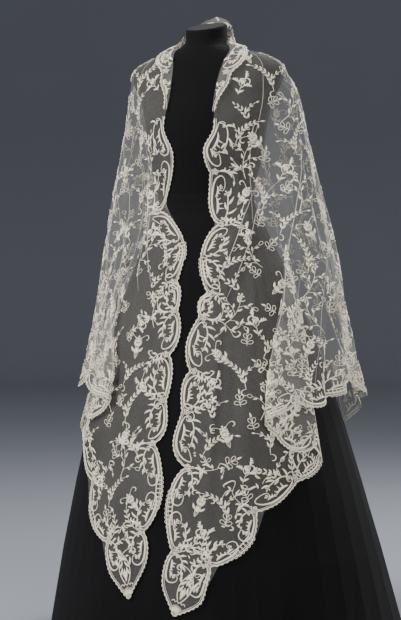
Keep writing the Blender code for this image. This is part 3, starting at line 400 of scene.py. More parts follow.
class Half(Surface):
    """One half of the draped shawl, from its front edge (x = 0) to the middle of the back (x = 1).

    Here h is the height over the floor.
    """

    def __init__(self, side):
        self.side = side
        self.sign = 1 if side == "left" else -1
        self.edge_from_centre = spline(*np.transpose(FRONT_EDGE[side]))
        fold = np.array(SIDE_FOLD[side], float)
        self.fold_middle = spline(fold[:, 0], fold[:, 1])
        self.fold_swing = spline(fold[:, 0], fold[:, 2])
        self.hem_height = spline(HEM_SHARES, HEM[side])
        self.fold_angle = spline(*np.transpose(FOLD_LINE[side])[::-1])
        self.columns = np.linspace(0, 1, 401)
        self.tops = np.array([self.top_of(x) for x in self.columns])
        self.measure_up(np.linspace(-0.02, 1.02, 313), np.linspace(0.05, 1.56, 303))
        hem = self.place(self.columns, self.hem_height(share_of(self.columns)))
        self.along_hem = run_along(hem)

    def edge_angle(self, height):
        """Angle of the free front edge."""
        away = self.edge_from_centre(height)
        angle = np.zeros_like(away)
        for _ in range(6):
            radius = rest_radius(angle, height)
            angle = np.degrees(np.arcsin(np.clip(away / radius, -0.95, 0.95)))
        return angle

    def angle(self, x, height):
        """Angle from the front of a place on the cloth."""
        edge, middle = self.edge_angle(height), self.fold_middle(height)
        front = edge + (middle - edge) * x / FOLD_AT
        rear = middle + (180 - middle) * (x - FOLD_AT) / (1 - FOLD_AT)
        off = (share_of(x) - FOLD_AT) / FOLD_HALF
        swing = self.fold_swing(height) * off * np.exp((1 - off**2) / 2)
        return np.where(x < FOLD_AT, front, rear) - swing

    def radius(self, share, angle, height):
        """Distance from the axis, with the folds."""
        radius = rest_radius(angle, height)
        slack = radius - form_radius(np.abs(angle), height) - CLEARANCE
        off = (share - FOLD_AT) / FOLD_HALF
        turn = FOLD_TURN_AT * ease((FOLD_STARTS - height) / FOLD_SPREAD)
        width = FOLD_TURN * (2.6 - 1.6 * turn / FOLD_TURN_AT)
        turns = [ease((off - at + width) / (2 * width)) for at in (-turn, turn)]
        layers = (turns[0] + turns[1]) / 2 * (1 - ease((off - 2.5) / 4))
        radius = radius + FOLD_LIFT * layers * ease((FOLD_TOP - height) / FOLD_OPENING)
        for middle, half, rise, start in RIDGES:
            fall = np.clip((start - height) / (start - RIDGE_FOOT), 0, 1.15)
            wave = rise * fall * np.exp(-(((share - middle) / half) ** 2))
            radius = radius + np.maximum(wave, -0.8 * np.maximum(slack, 0))
        for top, top_angle, low, low_angle, half, rise in GATHERS[self.side]:
            along = (top - height) / (top - low)
            line = top_angle + (low_angle - top_angle) * along
            strength = np.sin(np.pi * np.clip((along + 0.1) / 1.2, 0, 1)) ** 1.5
            on_front = 1 - ease((share - 0.17) / 0.05)
            radius = radius + rise * strength * on_front * np.exp(-(((angle - line) / half) ** 2))
        return radius + self.creases(share, height)

    def creases(self, share, height):
        """What the slight creases add to the radius."""
        total = np.zeros(np.broadcast(share, height).shape)
        for middle, half, rise, start, end in CREASES:
            along = np.clip((start - height) / (start - end), 0, 1)
            total += rise * np.sin(np.pi * along) * np.exp(-(((share - middle) / half) ** 2))
        return total

    def place(self, x, height):
        x, height = np.broadcast_arrays(np.asarray(x, float), np.asarray(height, float))
        angle = self.angle(x, height)
        radius = self.radius(share_of(x), angle, height)
        turn = np.radians(angle)
        return np.stack([self.sign * radius * np.sin(turn), -radius * np.cos(turn), height], axis=-1)

    def normal(self, x, height):
        low, high = x - 0.002, x + 0.002
        across = self.place(high, height) - self.place(low, height)
        along = self.place(x, height - 0.004) - self.place(x, height + 0.004)
        normal = np.cross(along, across) * self.sign
        return normal / np.linalg.norm(normal, axis=-1)[..., None]

    def top_of(self, x):
        """Height of the collar's fold line at a place x."""
        low, high = LAPEL_END[self.side], FOLD_LINE[self.side][-1][1]
        for _ in range(30):
            middle = np.array((low + high) / 2)
            if self.angle(np.array(x), middle) > self.fold_angle(middle):
                low = float(middle)
            else:
                high = float(middle)
        return low

    def top(self, x):
        return np.interp(x, self.columns, self.tops)

    def front_cut(self, height):
        """Where the scalloped front edge lies, as x."""
        wide = self.measures(np.zeros_like(height), height)[0]
        return scallop_depth(height, FRONT_NOTCHES[self.side]) / wide

    def hem_low(self, x):
        """Height of the scalloped hem."""
        along = np.interp(x, self.columns, self.along_hem)
        return self.hem_height(share_of(x)) + scallop_depth(along, HEM_NOTCHES)

    def room(self, x, h):
        """How far places are inside the front edge, the hem and the collar's line, in metres."""
        wide, _, tall = self.measures(x, h)
        return (x - self.front_cut(h)) * wide, (h - self.hem_low(x)) * tall, (self.top(x) - h) * tall

    def turned_over(self, x, width):
        """Places at a distance from the collar's fold line, square to it and away from the neck."""
        line = self.place(x, self.top(x))
        ahead = self.place(np.clip(x + 0.004, 0, 1), self.top(np.clip(x + 0.004, 0, 1)))
        behind = self.place(np.clip(x - 0.004, 0, 1), self.top(np.clip(x - 0.004, 0, 1)))
        away = np.cross(self.normal(x, self.top(x)), ahead - behind) * -self.sign
        away /= np.linalg.norm(away, axis=1)[:, None]
        ends = np.concatenate([away[:1].repeat(6, axis=0), away, away[-2:-8:-1] * [-1, 1, 1]])
        away = np.mean([ends[k : k + len(away)] for k in range(13)], axis=0)
        away /= np.linalg.norm(away, axis=1)[:, None]
        reach = width.copy()
        for _ in range(6):
            aim = line + away * reach[:, None]
            angle = np.degrees(np.arctan2(aim[:, 0] * self.sign, -aim[:, 1]))
            low, high = np.zeros_like(angle), np.ones_like(angle)
            for _ in range(24):
                middle = (low + high) / 2
                beyond = self.angle(middle, aim[:, 2]) > np.where(angle < -90, 180, angle)
                low, high = np.where(beyond, low, middle), np.where(beyond, middle, high)
            found = self.place(middle, aim[:, 2])
            far = np.linalg.norm(found - line, axis=1)
            reach *= np.clip(width / np.maximum(far, 1e-5), 0.5, 2)
        return middle, aim[:, 2]


def share_of(x):
    """The share of the way round of a place x."""
    return np.where(x < FOLD_AT, FOLD_AT * (np.clip(x, 0, 1) / FOLD_AT) ** (1 / FAN), np.clip(x, 0, 1))


def scallop_depth(where, notches):
    """How far the edge is cut back at a place, from rows of (place, depth) in rising order."""
    places = [n[0] for n in notches]
    depths = [n[1] for n in notches]
    i = np.clip(np.searchsorted(places, where) - 1, 0, len(places) - 2)
    a, b = np.take(places, i), np.take(places, i + 1)
    t = np.clip((where - a) / (b - a), 0, 1)
    ends = np.take(depths, i) * (1 - t) + np.take(depths, i + 1) * t
    return ends * (1 - np.sin(np.pi * t) ** SCALLOP_ROUNDNESS)


class Collar(Surface):
    """The border turned over at the neck. Here x runs from one lapel's end to the other, in metres
    along the fold line, and h is the distance from that line."""

    def __init__(self, halves):
        strips, widths, runs = [], [], []
        for side in ("right", "left"):
            half = halves[side]
            line = half.place(half.columns, half.tops)
            run = run_along(line)
            at = np.linspace(0.012, run[-1], 90)
            x = np.interp(at, run, half.columns)
            width = COLLAR_WIDTH * (0.14 + 0.86 * ease(at / 0.16))
            rows = []
            for part in np.linspace(0, 1, COLLAR_ROWS):
                where, height = half.turned_over(x, width * part + 1e-4)
                lift = CLOTH + 0.0012 + COLLAR_LIFT * math.sin(math.pi * min(1, part * 1.6) / 2)
                ripple = 0.0012 * np.sin(at * 95 + (2 if side == "left" else 0)) * part
                out = half.normal(where, height) * (lift + ripple)[:, None]
                rows.append(half.place(where, height) + out)
            strips.append(np.array(rows))
            notch = np.abs(np.cos(np.pi * (at - 0.03) / COLLAR_NOTCH_PITCH)) ** 3
            widths.append((width, width * (1 - COLLAR_NOTCH_DEPTH / COLLAR_WIDTH * notch)))
            runs.append(at)
        right, left = strips
        right[:, -1, 0] = 0.0
        self.grid = np.moveaxis(np.concatenate([right, left[:, ::-1][:, 1:]], axis=1), -1, 0)
        self.length = runs[0][-1] + runs[1][-1]
        self.runs = np.concatenate([runs[0], self.length - runs[1][::-1][1:]])
        self.full = np.concatenate([widths[0][0], widths[1][0][::-1][1:]])
        self.cut = np.concatenate([widths[0][1], widths[1][1][::-1][1:]])
        self.measure_up(np.linspace(self.runs[0], self.runs[-1], 260), np.linspace(0.0, COLLAR_WIDTH, 24))

    def place(self, x, h):
        x, h = np.broadcast_arrays(np.asarray(x, float), np.asarray(h, float))
        column = np.clip(np.interp(x, self.runs, np.arange(len(self.runs))), 0, len(self.runs) - 1.0001)
        row = np.clip(h / np.interp(x, self.runs, self.full), 0, 1.05) * (COLLAR_ROWS - 1)
        return np.moveaxis(between(self.grid, row, column), 0, -1)

    def normal(self, x, h):
        across = self.place(x + 0.004, h) - self.place(x - 0.004, h)
        away = self.place(x, np.asarray(h) + 0.003) - self.place(x, np.maximum(np.asarray(h) - 0.003, 0))
        normal = np.cross(across, away)
        return normal / np.maximum(np.linalg.norm(normal, axis=-1), 1e-9)[..., None]

    def edge(self, x):
        return np.interp(x, self.runs, self.cut)

    def room(self, x, h):
        return np.minimum(x - self.runs[0], self.runs[-1] - x), self.edge(x) - h, h


HALVES = {side: Half(side) for side in ("left", "right")}
COLLAR = Collar(HALVES)


# Motifs, each a list of (points, half width at each point, closed). Lengths in metres, angles in
# degrees, and a motif grows along +Y.


def curl(start, heading, length, turn, count=7, tighten=1.0):
    """Points along a curve that turns away from its heading, more towards its end if tightened."""
    t = (np.arange(count - 1) + 0.5) / (count - 1)
    angle = np.radians(heading + turn * t**tighten)
    step = length / (count - 1)
    path = np.cumsum(np.stack([np.cos(angle), np.sin(angle)], axis=1) * step, axis=0)
    return np.concatenate([[start], start + path])


def leaf(at, heading, length, width, turn=25, count=6):
    """A solid pointed leaf."""
    t = np.linspace(0, 1, count)
    half = width / 2 * (0.12 + np.sin(np.pi * t**0.8)) / 1.12
    return curl(at, heading, length, turn, count), half, False


def stem(at, heading, length, turn, width=0.0016, count=8, tighten=1.0, end=0.6):
    """A curving cord that thins towards its end."""
    path = curl(at, heading, length, turn, count, tighten)
    return path, width / 2 * np.linspace(1, end, count), False


def open_leaf(at, heading, length, width, thread=0.0016, count=11):
    """The outline of a leaf, with a net ground inside."""
    t = np.arange(count) / count * 2 * np.pi
    along = (1 - np.cos(t)) / 2 * length
    side = np.sin(t) * width / 2 * (1 - 0.25 * np.cos(t))
    c, s = toward(heading)
    path = np.stack([along * c - side * s, along * s + side * c], axis=1)
    return np.array(at) + path, np.full(count, thread / 2), True


def ring(at, radius, thread=0.0016, count=9):
    """A round loop of cord."""
    t = np.arange(count) / count * 2 * np.pi
    path = np.array(at) + radius * np.stack([np.cos(t), np.sin(t)], axis=1)
    return path, np.full(count, thread / 2), True


def flower(at, radius, petals=5, turn=0):
    """A round flower of broad petals about a small ring."""
    found = [ring(at, radius * 0.26, 0.0015, 7)]
    for k in range(petals):
        heading = turn + 360 / petals * k
        start = np.array(at) + radius * 0.34 * toward(heading)
        t = np.linspace(0, 1, 5)
        path = curl(start, heading, radius * 0.72, 0, 5)
        found.append((path, radius * 0.34 * (0.2 + np.sin(np.pi * t**1.25)) / 1.2, False))
    return found


def hook(at, heading, length, turn, width=0.0034):
    """A curl that thickens to a rounded end, with a bud inside."""
    count = 11
    t = np.linspace(0, 1, count)
    path = curl(at, heading, length, turn, count, 1.3)
    half = width / 2 * (0.4 + 0.6 * np.sin(np.pi * np.clip(t, 0, 0.93) ** 1.4))
    inward = heading + turn + (80 if turn > 0 else -80)
    return [(path, half, False), leaf(path[7], inward, length * 0.17, width * 1.2, 0, 4)]


def tip_of(path):
    """The end of a path and its heading there."""
    away = path[-1] - path[-2]
    return path[-1], math.degrees(math.atan2(away[1], away[0]))


def on(path, t):
    """A point along a path and its heading."""
    i = min(int(t * (len(path) - 1)), len(path) - 2)
    f = t * (len(path) - 1) - i
    away = path[i + 1] - path[i]
    return path[i] * (1 - f) + path[i + 1] * f, math.degrees(math.atan2(away[1], away[0]))


def lobed_leaf(at, heading, length, width, turn):
    """A curling leaf with three lobes on its outer side."""
    body = leaf(at, heading, length, width, turn, 8)
    found = [body]
    side = -1 if turn > 0 else 1
    for t, size in ((0.30, 0.36), (0.52, 0.32), (0.74, 0.24)):
        spot, way = on(body[0], t)
        found.append(leaf(spot, way + side * 50, length * size, width * 0.60, side * 34, 5))
    return found


def laurel(length=0.105, turn=60, pairs=5, size=0.0175, heading=84):
    """A curving stem with paired leaves that shrink towards its end, and a bud there."""
    main = stem((0, 0), heading, length, turn, 0.0021, 13)
    found = [main]
    for k in range(pairs):
        spot, way = on(main[0], 0.16 + 0.76 * k / pairs)
        long = size * (1 - 0.35 * k / pairs)
        for side in (1, -1):
            found.append(leaf(spot, way + side * 46, long, 0.36 * long, -side * 34, 5))
    end, way = tip_of(main[0])
    return [*found, leaf(end, way, size * 0.8, 0.36 * size, 8, 5)]


def moved(motif, at, turn, flip=1, size=1.0):
    """A motif mirrored, turned and carried to a point of another one."""
    a = math.radians(turn - 90)
    spin = np.array([[math.cos(a), math.sin(a)], [-math.sin(a), math.cos(a)]])
    return [
        (np.array(at) + (path * [flip, 1]) @ spin * size, half * size, closed)
        for path, half, closed in motif
    ]


def leafy_spray():
    """A long laurel branch with one side branch and a hook at its foot."""
    found = laurel(0.118, 74, 6, 0.0185, 70)
    spot, way = on(found[0][0], 0.30)
    found += moved(laurel(0.052, -50, 2, 0.0150), spot, way - 48)
    return found + hook((0, 0), 150, 0.036, 230, 0.0034)


def branching_spray():
    """A stem with three branches, each with leaves and an open leaf, and a flower at its end."""
    main = stem((0, 0), 100, 0.112, -56, 0.0021, 13)
    found = [main]
    for t, side, length in ((0.20, 1, 0.050), (0.42, -1, 0.052), (0.66, 1, 0.044)):
        spot, way = on(main[0], t)
        branch = stem(spot, way + side * 34, length, side * 60, 0.0017, 8)
        found.append(branch)
        for part, flip in ((0.40, 1), (0.66, -1)):
            place, bend = on(branch[0], part)
            found.append(leaf(place, bend + flip * 52, 0.0165, 0.0068, -flip * 30))
        end, bend = tip_of(branch[0])
        found.append(open_leaf(end, bend, 0.0170, 0.0096, 0.0019))
    for t, flip in ((0.30, -1), (0.55, 1), (0.80, -1)):
        spot, way = on(main[0], t)
        found.append(leaf(spot, way + flip * 56, 0.0190, 0.0072, -flip * 40))
    end, way = tip_of(main[0])
    return found + flower(end, 0.0100)


def trefoil_spray():
    """Three curls on one stem, each with a leaf on its back."""
    found = [stem((0, -0.010), 90, 0.046, 10, 0.0020, 7)]
    for heading, turn, reach in ((150, -215, 0.012), (30, 215, 0.018), (96, 235, 0.034)):
        curls = hook((0, reach), heading, 0.046, turn, 0.0040)
        found += curls
        spot, way = on(curls[0][0], 0.30)
        found += lobed_leaf(spot, way + (50 if turn < 0 else -50), 0.026, 0.0078, -turn * 0.25)
    for heading, reach in ((52, -0.006), (128, -0.004), (74, 0.026), (112, 0.024)):
        found.append(leaf((0, reach), heading, 0.0190, 0.0070, 20 if heading > 90 else -20))
    return found


def curled_spray():
    """Two long curls from one foot, with laurel leaves and a flower between them."""
    found = []
    for side in (1, -1):
        main = stem((0, 0), 90 + 30 * side, 0.080, -side * 96, 0.0021, 11)
        found.append(main)
        for t, way_off, size in ((0.26, 54, 0.020), (0.46, 50, 0.018), (0.64, 48, 0.016)):
            spot, way = on(main[0], t)
            found.append(leaf(spot, way + side * way_off, size, 0.40 * size, -side * 34))
            found.append(leaf(spot, way - side * way_off, size * 0.8, 0.34 * size, side * 30))
        end, way = tip_of(main[0])
        found += hook(end, way, 0.030, -side * 230, 0.0036)
    found += flower((0, 0.056), 0.0105, 5, 90)
    found.append(stem((0, 0), 90, 0.046, 0, 0.0017, 5))
    for side in (1, -1):
        found.append(leaf((0, 0.014), 90 + 30 * side, 0.0180, 0.0066, -20 * side))
    return found


def small_sprig():
    """Open leaves on a short stem."""
    found = [stem((0, -0.018), 90, 0.038, 14, 0.0018, 6)]
    for heading, reach in ((56, 0.002), (124, 0.002), (20, -0.010), (160, -0.010)):
        found.append(open_leaf((0, reach), heading, 0.0185, 0.0102, 0.0019))
    found.append(leaf((0.0, 0.018), 90, 0.0170, 0.0070, 10))
    return found


SPRAYS = (leafy_spray, branching_spray, trefoil_spray, leafy_spray, curled_spray)


class Lacework:
    """Strips of dense lace laid on a surface, gathered and then made one mesh."""

    def __init__(self, surface):
        self.surface = surface
        self.strips = []

    def put(self, motif, at, turn=0, flip=1, size=1.0):
        """A motif about a place on the cloth, turned by an angle and mirrored if flip is -1."""
        motif = moved(motif, (0, 0), turn + 90, flip, size)
        away = np.concatenate([path for path, _, _ in motif])
        count = len(away)
        x, h = self.surface.walk(np.full(count, at[0]), np.full(count, at[1]), away[:, 0], away[:, 1])
        self.split(motif, x, h)

    def along(self, edge, motif, run, deep, turn=0, flip=1, size=1.0):
        """A motif on the border. Its +X follows the edge and its +Y goes into the cloth."""
        motif = moved(motif, (0, 0), turn + 90, 1, size)
        away = np.concatenate([path for path, _, _ in motif])
        self.split(motif, *edge.at(run + flip * away[:, 0], deep + away[:, 1]))

    def split(self, motif, x, h):
        """Keeps each strip of a motif whose points are now on the cloth."""
        first = 0
        for path, half, closed in motif:
            last = first + len(path)
            self.strips.append((x[first:last], h[first:last], half, closed))
            first = last

    def run(self, x, h, half, closed=False):
        """A strip through places that are already on the cloth."""
        half = np.broadcast_to(half, np.shape(x))
        self.strips.append((np.asarray(x), np.asarray(h), half, closed))

    def keep(self, wanted):
        """Drops the strips of which any place is unwanted."""
        counts = [len(strip[0]) for strip in self.strips]
        ok = wanted(*[np.concatenate([strip[k] for strip in self.strips]) for k in (0, 1)])
        ends = np.cumsum(counts)
        self.strips = [s for s, end, n in zip(self.strips, ends, counts) if ok[end - n : end].all()]

    def mesh(self, name, lift=LACE_LIFT):
        """Flat closed strips, rounded on the outer side."""
        surface = self.surface
        x, h, half = [np.concatenate([strip[k] for strip in self.strips]) for k in (0, 1, 2)]
        wide, skew, tall = surface.measures(x, h)
        ahead_x, ahead_h, faces, first = np.empty_like(x), np.empty_like(h), [], 0
        for xs, hs, _, closed in self.strips:
            n = len(xs)
            part = slice(first, first + n)
            if closed:
                ahead_x[part] = np.roll(xs, -1) - np.roll(xs, 1)
                ahead_h[part] = np.roll(hs, -1) - np.roll(hs, 1)
            else:
                ahead_x[part], ahead_h[part] = np.gradient(xs), np.gradient(hs)
            here = (first + np.arange(n if closed else n - 1)) * 4
            there = (first + (np.arange(n if closed else n - 1) + 1) % n) * 4
            for a, b in ((0, 1), (1, 2), (2, 3), (3, 0)):
                faces.append(np.stack([here + a, here + b, there + b, there + a], axis=1))
            if not closed:
                start, end = first * 4, (first + n - 1) * 4
                ends = [[start + 3, start + 2, start + 1, start], [end, end + 1, end + 2, end + 3]]
                faces.append(np.array(ends))
            first += n
        across, up = wide * ahead_x + skew * ahead_h, tall * ahead_h
        long = np.maximum(np.hypot(across, up), 1e-9)
        side_a, side_u = -up / long * half, across / long * half
        left = surface.walk(x, h, side_a, side_u, 2)
        right = surface.walk(x, h, -side_a, -side_u, 2)
        normal = surface.normal(x, h)
        middle = surface.place(x, h)
        thick = np.minimum(0.0012, 0.0004 + half * 0.28)[:, None]
        corners = [
            surface.place(*left) + normal * lift,
            middle + normal * (lift + thick),
            surface.place(*right) + normal * lift,
            middle + normal * (lift - 0.0001),
        ]
        points = np.stack(corners, axis=1).reshape(-1, 3)
        return made_mesh(name, points, np.concatenate(faces))


def made_mesh(name, points, faces):
    """An object from points and four-sided faces, with smooth shading."""
    data = bpy.data.meshes.new(name)
    data.from_pydata(points.tolist(), [], faces.tolist())
    data.validate()
    data.shade_smooth()
    obj = bpy.data.objects.new(name, data)
    bpy.context.scene.collection.objects.link(obj)
    return obj


class Edge:
    """A scalloped edge of one half: places along it by distance, and the way into the cloth."""

    def __init__(self, half, kind):
        self.half = half
        if kind == "front":
            h = np.linspace(half.hem_low(np.array(0.0)), half.top(0.0) - 0.002, 500)
            x = np.zeros(500)
            depth = scallop_depth(h, FRONT_NOTCHES[half.side])
            notches = [n[0] for n in FRONT_NOTCHES[half.side]]
        else:
            x = np.linspace(0, 1, 900)
            h = half.hem_height(share_of(x))
            depth = scallop_depth(np.interp(x, half.columns, half.along_hem), HEM_NOTCHES)
            notches = [n[0] for n in HEM_NOTCHES if n[0] <= half.along_hem[-1]]
        self.x, self.h, self.depth = x, h, depth
        self.run = run_along(half.place(x, h))
        wide, skew, tall = half.measures(x, h)
        across, up = wide * np.gradient(x) + skew * np.gradient(h), tall * np.gradient(h)
        long = np.hypot(across, up)
        turn = -1 if kind == "front" else 1
        self.inward = np.stack([-up / long, across / long], axis=1) * turn
        self.notches = np.interp(notches, h, self.run) if kind == "front" else np.array(notches)

    def at(self, run, deep, from_cut=True):
        """Places at distances along the edge and into the cloth, from the cut edge or the crests."""
        run, deep = np.broadcast_arrays(np.asarray(run, float), np.asarray(deep, float))
        x, h = np.interp(run, self.run, self.x), np.interp(run, self.run, self.h)
        if from_cut:
            deep = deep + np.interp(run, self.run, self.depth)
        a = np.interp(run, self.run, self.inward[:, 0])
        u = np.interp(run, self.run, self.inward[:, 1])
        return self.half.walk(x, h, a * deep, u * deep, 5)


class CollarEdge:
    """The scalloped edge of the collar, in the same terms."""

    def __init__(self, collar):
        self.collar = collar
        self.run = collar.runs - collar.runs[0]
        last = self.run[-1]
        spots = np.arange(8) * COLLAR_NOTCH_PITCH + 0.03 - collar.runs[0]
        right = [run for run in spots if 0 < run < last * 0.42]
        left = [last - run for run in right[::-1]]
        self.notches = np.array([0.004, *right, last / 2, *left, last - 0.004])

    def at(self, run, deep, from_cut=True):
        run, deep = np.broadcast_arrays(np.asarray(run, float), np.asarray(deep, float))
        x = run + self.collar.runs[0]
        return x, np.clip(self.collar.edge(x) - deep, 0.0, None)


def smooth(points, count):
    """A smooth path through some points."""
    return spline(np.arange(len(points)), points)(np.linspace(0, len(points) - 1, count))


def scallop_fill(width, deep):
    """The scrolls and leaves of one scallop, from its notch at x = 0 to x = width."""
    scale = np.array([width, deep])
    body = smooth(np.array(BAND) * scale, 34)
    t = np.linspace(0, 1, 34)
    swell = 0.0008 + 0.0014 * np.exp(-(((t - 0.42) / 0.20) ** 2))
    swell += 0.0010 * np.exp(-(((t - 0.97) / 0.05) ** 2))
    found = [(body, swell, False)]
    inner = smooth(np.array(INNER_STEM) * scale, 16)
    found.append((inner, 0.0009 + 0.0006 * np.sin(np.pi * np.linspace(0, 1, 16)), False))
    size = min(1.25, width / 0.090)
    leaves = ((0.24, 1, 0.020), (0.44, 1, 0.022), (0.64, 1, 0.019), (0.52, -1, 0.015), (0.84, 1, 0.015))
    for t, side, long in leaves:
        spot, way = on(inner, t)
        found.append(leaf(spot, way + side * 52, long * size, 0.0058, -side * 40))
    end, way = tip_of(inner)
    found += flower(end, 0.0060, 4, way)
    found += lobed_leaf(np.array([0.20, 0.30]) * scale, 38, 0.38 * width, 0.0062, -66)
    found += lobed_leaf(np.array([0.74, 0.44]) * scale, 156, 0.22 * width, 0.0050, 70)
    for spot in ((0.70, 0.67), (0.12, 0.54)):
        found.append(ring(np.array(spot) * scale, 0.0022, 0.0020, 7))
    return found


def trim_edge(work, edge, start, end, ladders):
    """Cords along an edge, with bars between them in the openwork and small loops outside it."""
    for deep, half in ((0.0015, 0.0014), (0.0056, 0.0006)):
        for first in np.arange(start, end - 0.002, 0.060):
            run = np.linspace(first, min(first + 0.060, end), 15)
            work.run(*edge.at(run, deep), half)
    for middle, count in ladders:
        for k in range(count + 1):
            run = middle + (k - count / 2) * LADDER_PITCH
            work.run(*edge.at(np.full(4, run), np.linspace(0.0030, 0.0142, 4)), 0.0013)
        for k in range(count):
            run = middle + (k - (count - 1) / 2) * LADDER_PITCH
            t = np.linspace(0, np.pi, 7)
            work.run(*edge.at(run + 0.0038 * np.cos(t), 0.0006 - 0.0034 * np.sin(t)), 0.0008)
        reach = (count / 2 + 0.3) * LADDER_PITCH
        work.run(*edge.at(np.linspace(middle - reach, middle + reach, 16), 0.0148), 0.0014)
    for run in np.arange(start + 0.006, end, 0.0110):
        if all(abs(run - middle) > (count / 2 + 0.5) * LADDER_PITCH for middle, count in ladders):
            t = np.linspace(0, np.pi, 5)
            work.run(*edge.at(run + 0.0032 * np.cos(t), 0.0006 - 0.0018 * np.sin(t)), 0.0007)


def notch_cluster():
    """Small rings in a bunch."""
    found = [ring((0, 0), 0.0026, 0.0018, 7)]
    for k in range(5):
        found.append(ring(0.0056 * toward(90 + 72 * k), 0.0023, 0.0017, 7))
    return found


def fill_scallops(work, edge, notches, deep, vines):
    """Fills each scallop with one or two sets of scrolls, and grows a vine from each notch."""
    for k, (a, b) in enumerate(zip(notches, notches[1:])):
        if b - a < 0.035:
            continue
        count = max(1, round((b - a) / SCALLOP_SCROLL))
        width = (b - a - 0.006) / count
        for part in range(count):
            flip = 1 if (k + part) % 2 else -1
            start = a + 0.003 + width * (part if flip > 0 else part + 1)
            reach = deep(start + flip * width / 2)
            if reach > 0.012:
                scrolls = scallop_fill(width, min(reach, 0.50 * width + 0.004))
                work.along(edge, scrolls, start, 0.0, 0, flip)
    for k, notch in enumerate(notches[1:-1]):
        work.along(edge, notch_cluster(), notch, 0.0135)
        if vines:
            flip = 1 if k % 2 else -1
            work.along(edge, VINES[k % 3](), notch, 0.022, 30 if k % 2 else 24, flip)


def vine_a():
    """What grows inwards from a notch: a laurel branch over a lobed leaf."""
    found = laurel(0.082, 62, 4, 0.0160, 76)
    found += lobed_leaf((0, 0), 132, 0.036, 0.0064, -80)
    spot, way = on(found[0][0], 0.36)
    found += hook(spot, way - 44, 0.030, -220, 0.0030)
    return found


def vine_b():
    """The same with two curls and an open leaf."""
    found = [stem((0, 0), 80, 0.076, -58, 0.0019, 12)]
    found += lobed_leaf((0, 0), 52, 0.034, 0.0064, 76)
    for t, side in ((0.34, 1), (0.58, -1), (0.80, 1)):
        spot, way = on(found[0][0], t)
        found += moved(laurel(0.026, side * 50, 1, 0.0140), spot, way + side * 46)
    end, way = tip_of(found[0][0])
    return found + hook(end, way, 0.030, 235, 0.0034)


def vine_c():
    """A flower on a leafy stem, with a curl to each side."""
    found = laurel(0.062, 24, 3, 0.0155, 84)
    end, way = tip_of(found[0][0])
    found += flower(end, 0.0095, 5, way)
    for side in (1, -1):
        found += hook((0, 0.002), 90 + side * 50, 0.040, side * 225, 0.0032)
    return found


VINES = (vine_a, vine_b, vine_c)


def border(half):
    """The scalloped border of one half, along its front edge and its hem."""
    work = Lacework(half)
    for kind, table in (("front", FRONT_LADDERS[half.side]), ("hem", HEM_LADDERS)):
        edge = Edge(half, kind)
        last = edge.run[-1]
        if kind == "front":
            ladders = [(float(np.interp(h, edge.h, edge.run)), count) for h, count in table]
        else:
            ladders = [row for row in table if row[0] < last - 0.05]
        trim_edge(work, edge, 0.002, last - 0.001, ladders)
        notches = [n for n in edge.notches if n < last - 0.030]
        notches = [0.070, *notches[1:], last]
        fill_scallops(work, edge, notches, lambda run: SCROLL_DEPTH, True)
    point_motif(work, half)
    work.keep(lambda x, h: (x < 1.0) & (half.room(x, h)[2] > 0.001) & (x > -0.03))
    return work


def point_motif(work, half):
    """A shell at the long front point, with two scrolls above it."""
    wide, skew, tall = half.measures(np.array([0.004]), np.array([HEM[half.side][0] + 0.01]))[:, 0]
    front = np.array([skew, tall]) / math.hypot(skew, tall)
    later = half.place(np.array([0.0, 0.05]), half.hem_height(share_of(np.array([0.0, 0.05]))))
    rise = later[1, 2] - later[0, 2]
    along = math.sqrt(max(np.linalg.norm(later[1] - later[0]) ** 2 - rise**2, 1e-9))
    hem = np.array([along, rise]) / math.hypot(along, rise)
    axis = front + hem
    turn = math.degrees(math.atan2(axis[1], axis[0])) - 90
    found = []
    for k in range(9):
        heading = 90 + (k - 4) * 7.5
        found.append(leaf(0.008 * toward(heading), heading, 0.021 - 0.0007 * abs(k - 4), 0.0027, 0, 5))
    t = np.linspace(0, 1, 13)
    waves = np.stack([(t - 0.5) * 0.034, 0.031 + 0.004 * np.abs(np.sin(t * 4 * np.pi))], axis=1)
    found.append((waves, np.full(13, 0.0012), False))
    for side in (1, -1):
        main = stem((side * 0.004, 0.036), 90 - side * 34, 0.105, side * 128, 0.0030, 16, 1.2)
        found.append(main)
        for part, flip in ((0.20, 1), (0.36, 1), (0.52, 1), (0.40, -1)):
            spot, way = on(main[0], part)
            found.append(leaf(spot, way + side * flip * 52, 0.020, 0.0066, -side * flip * 40))
        end, way = tip_of(main[0])
        found += hook(end, way, 0.026, side * 230)
    found.append(leaf((0, 0.040), 90, 0.030, 0.0080, 0, 7))
    found.append(leaf((0, 0.046), 62, 0.020, 0.0060, 30))
    found.append(leaf((0, 0.046), 118, 0.020, 0.0060, -30))
    work.put(found, (0.0015, HEM[half.side][0] + 0.002), turn)


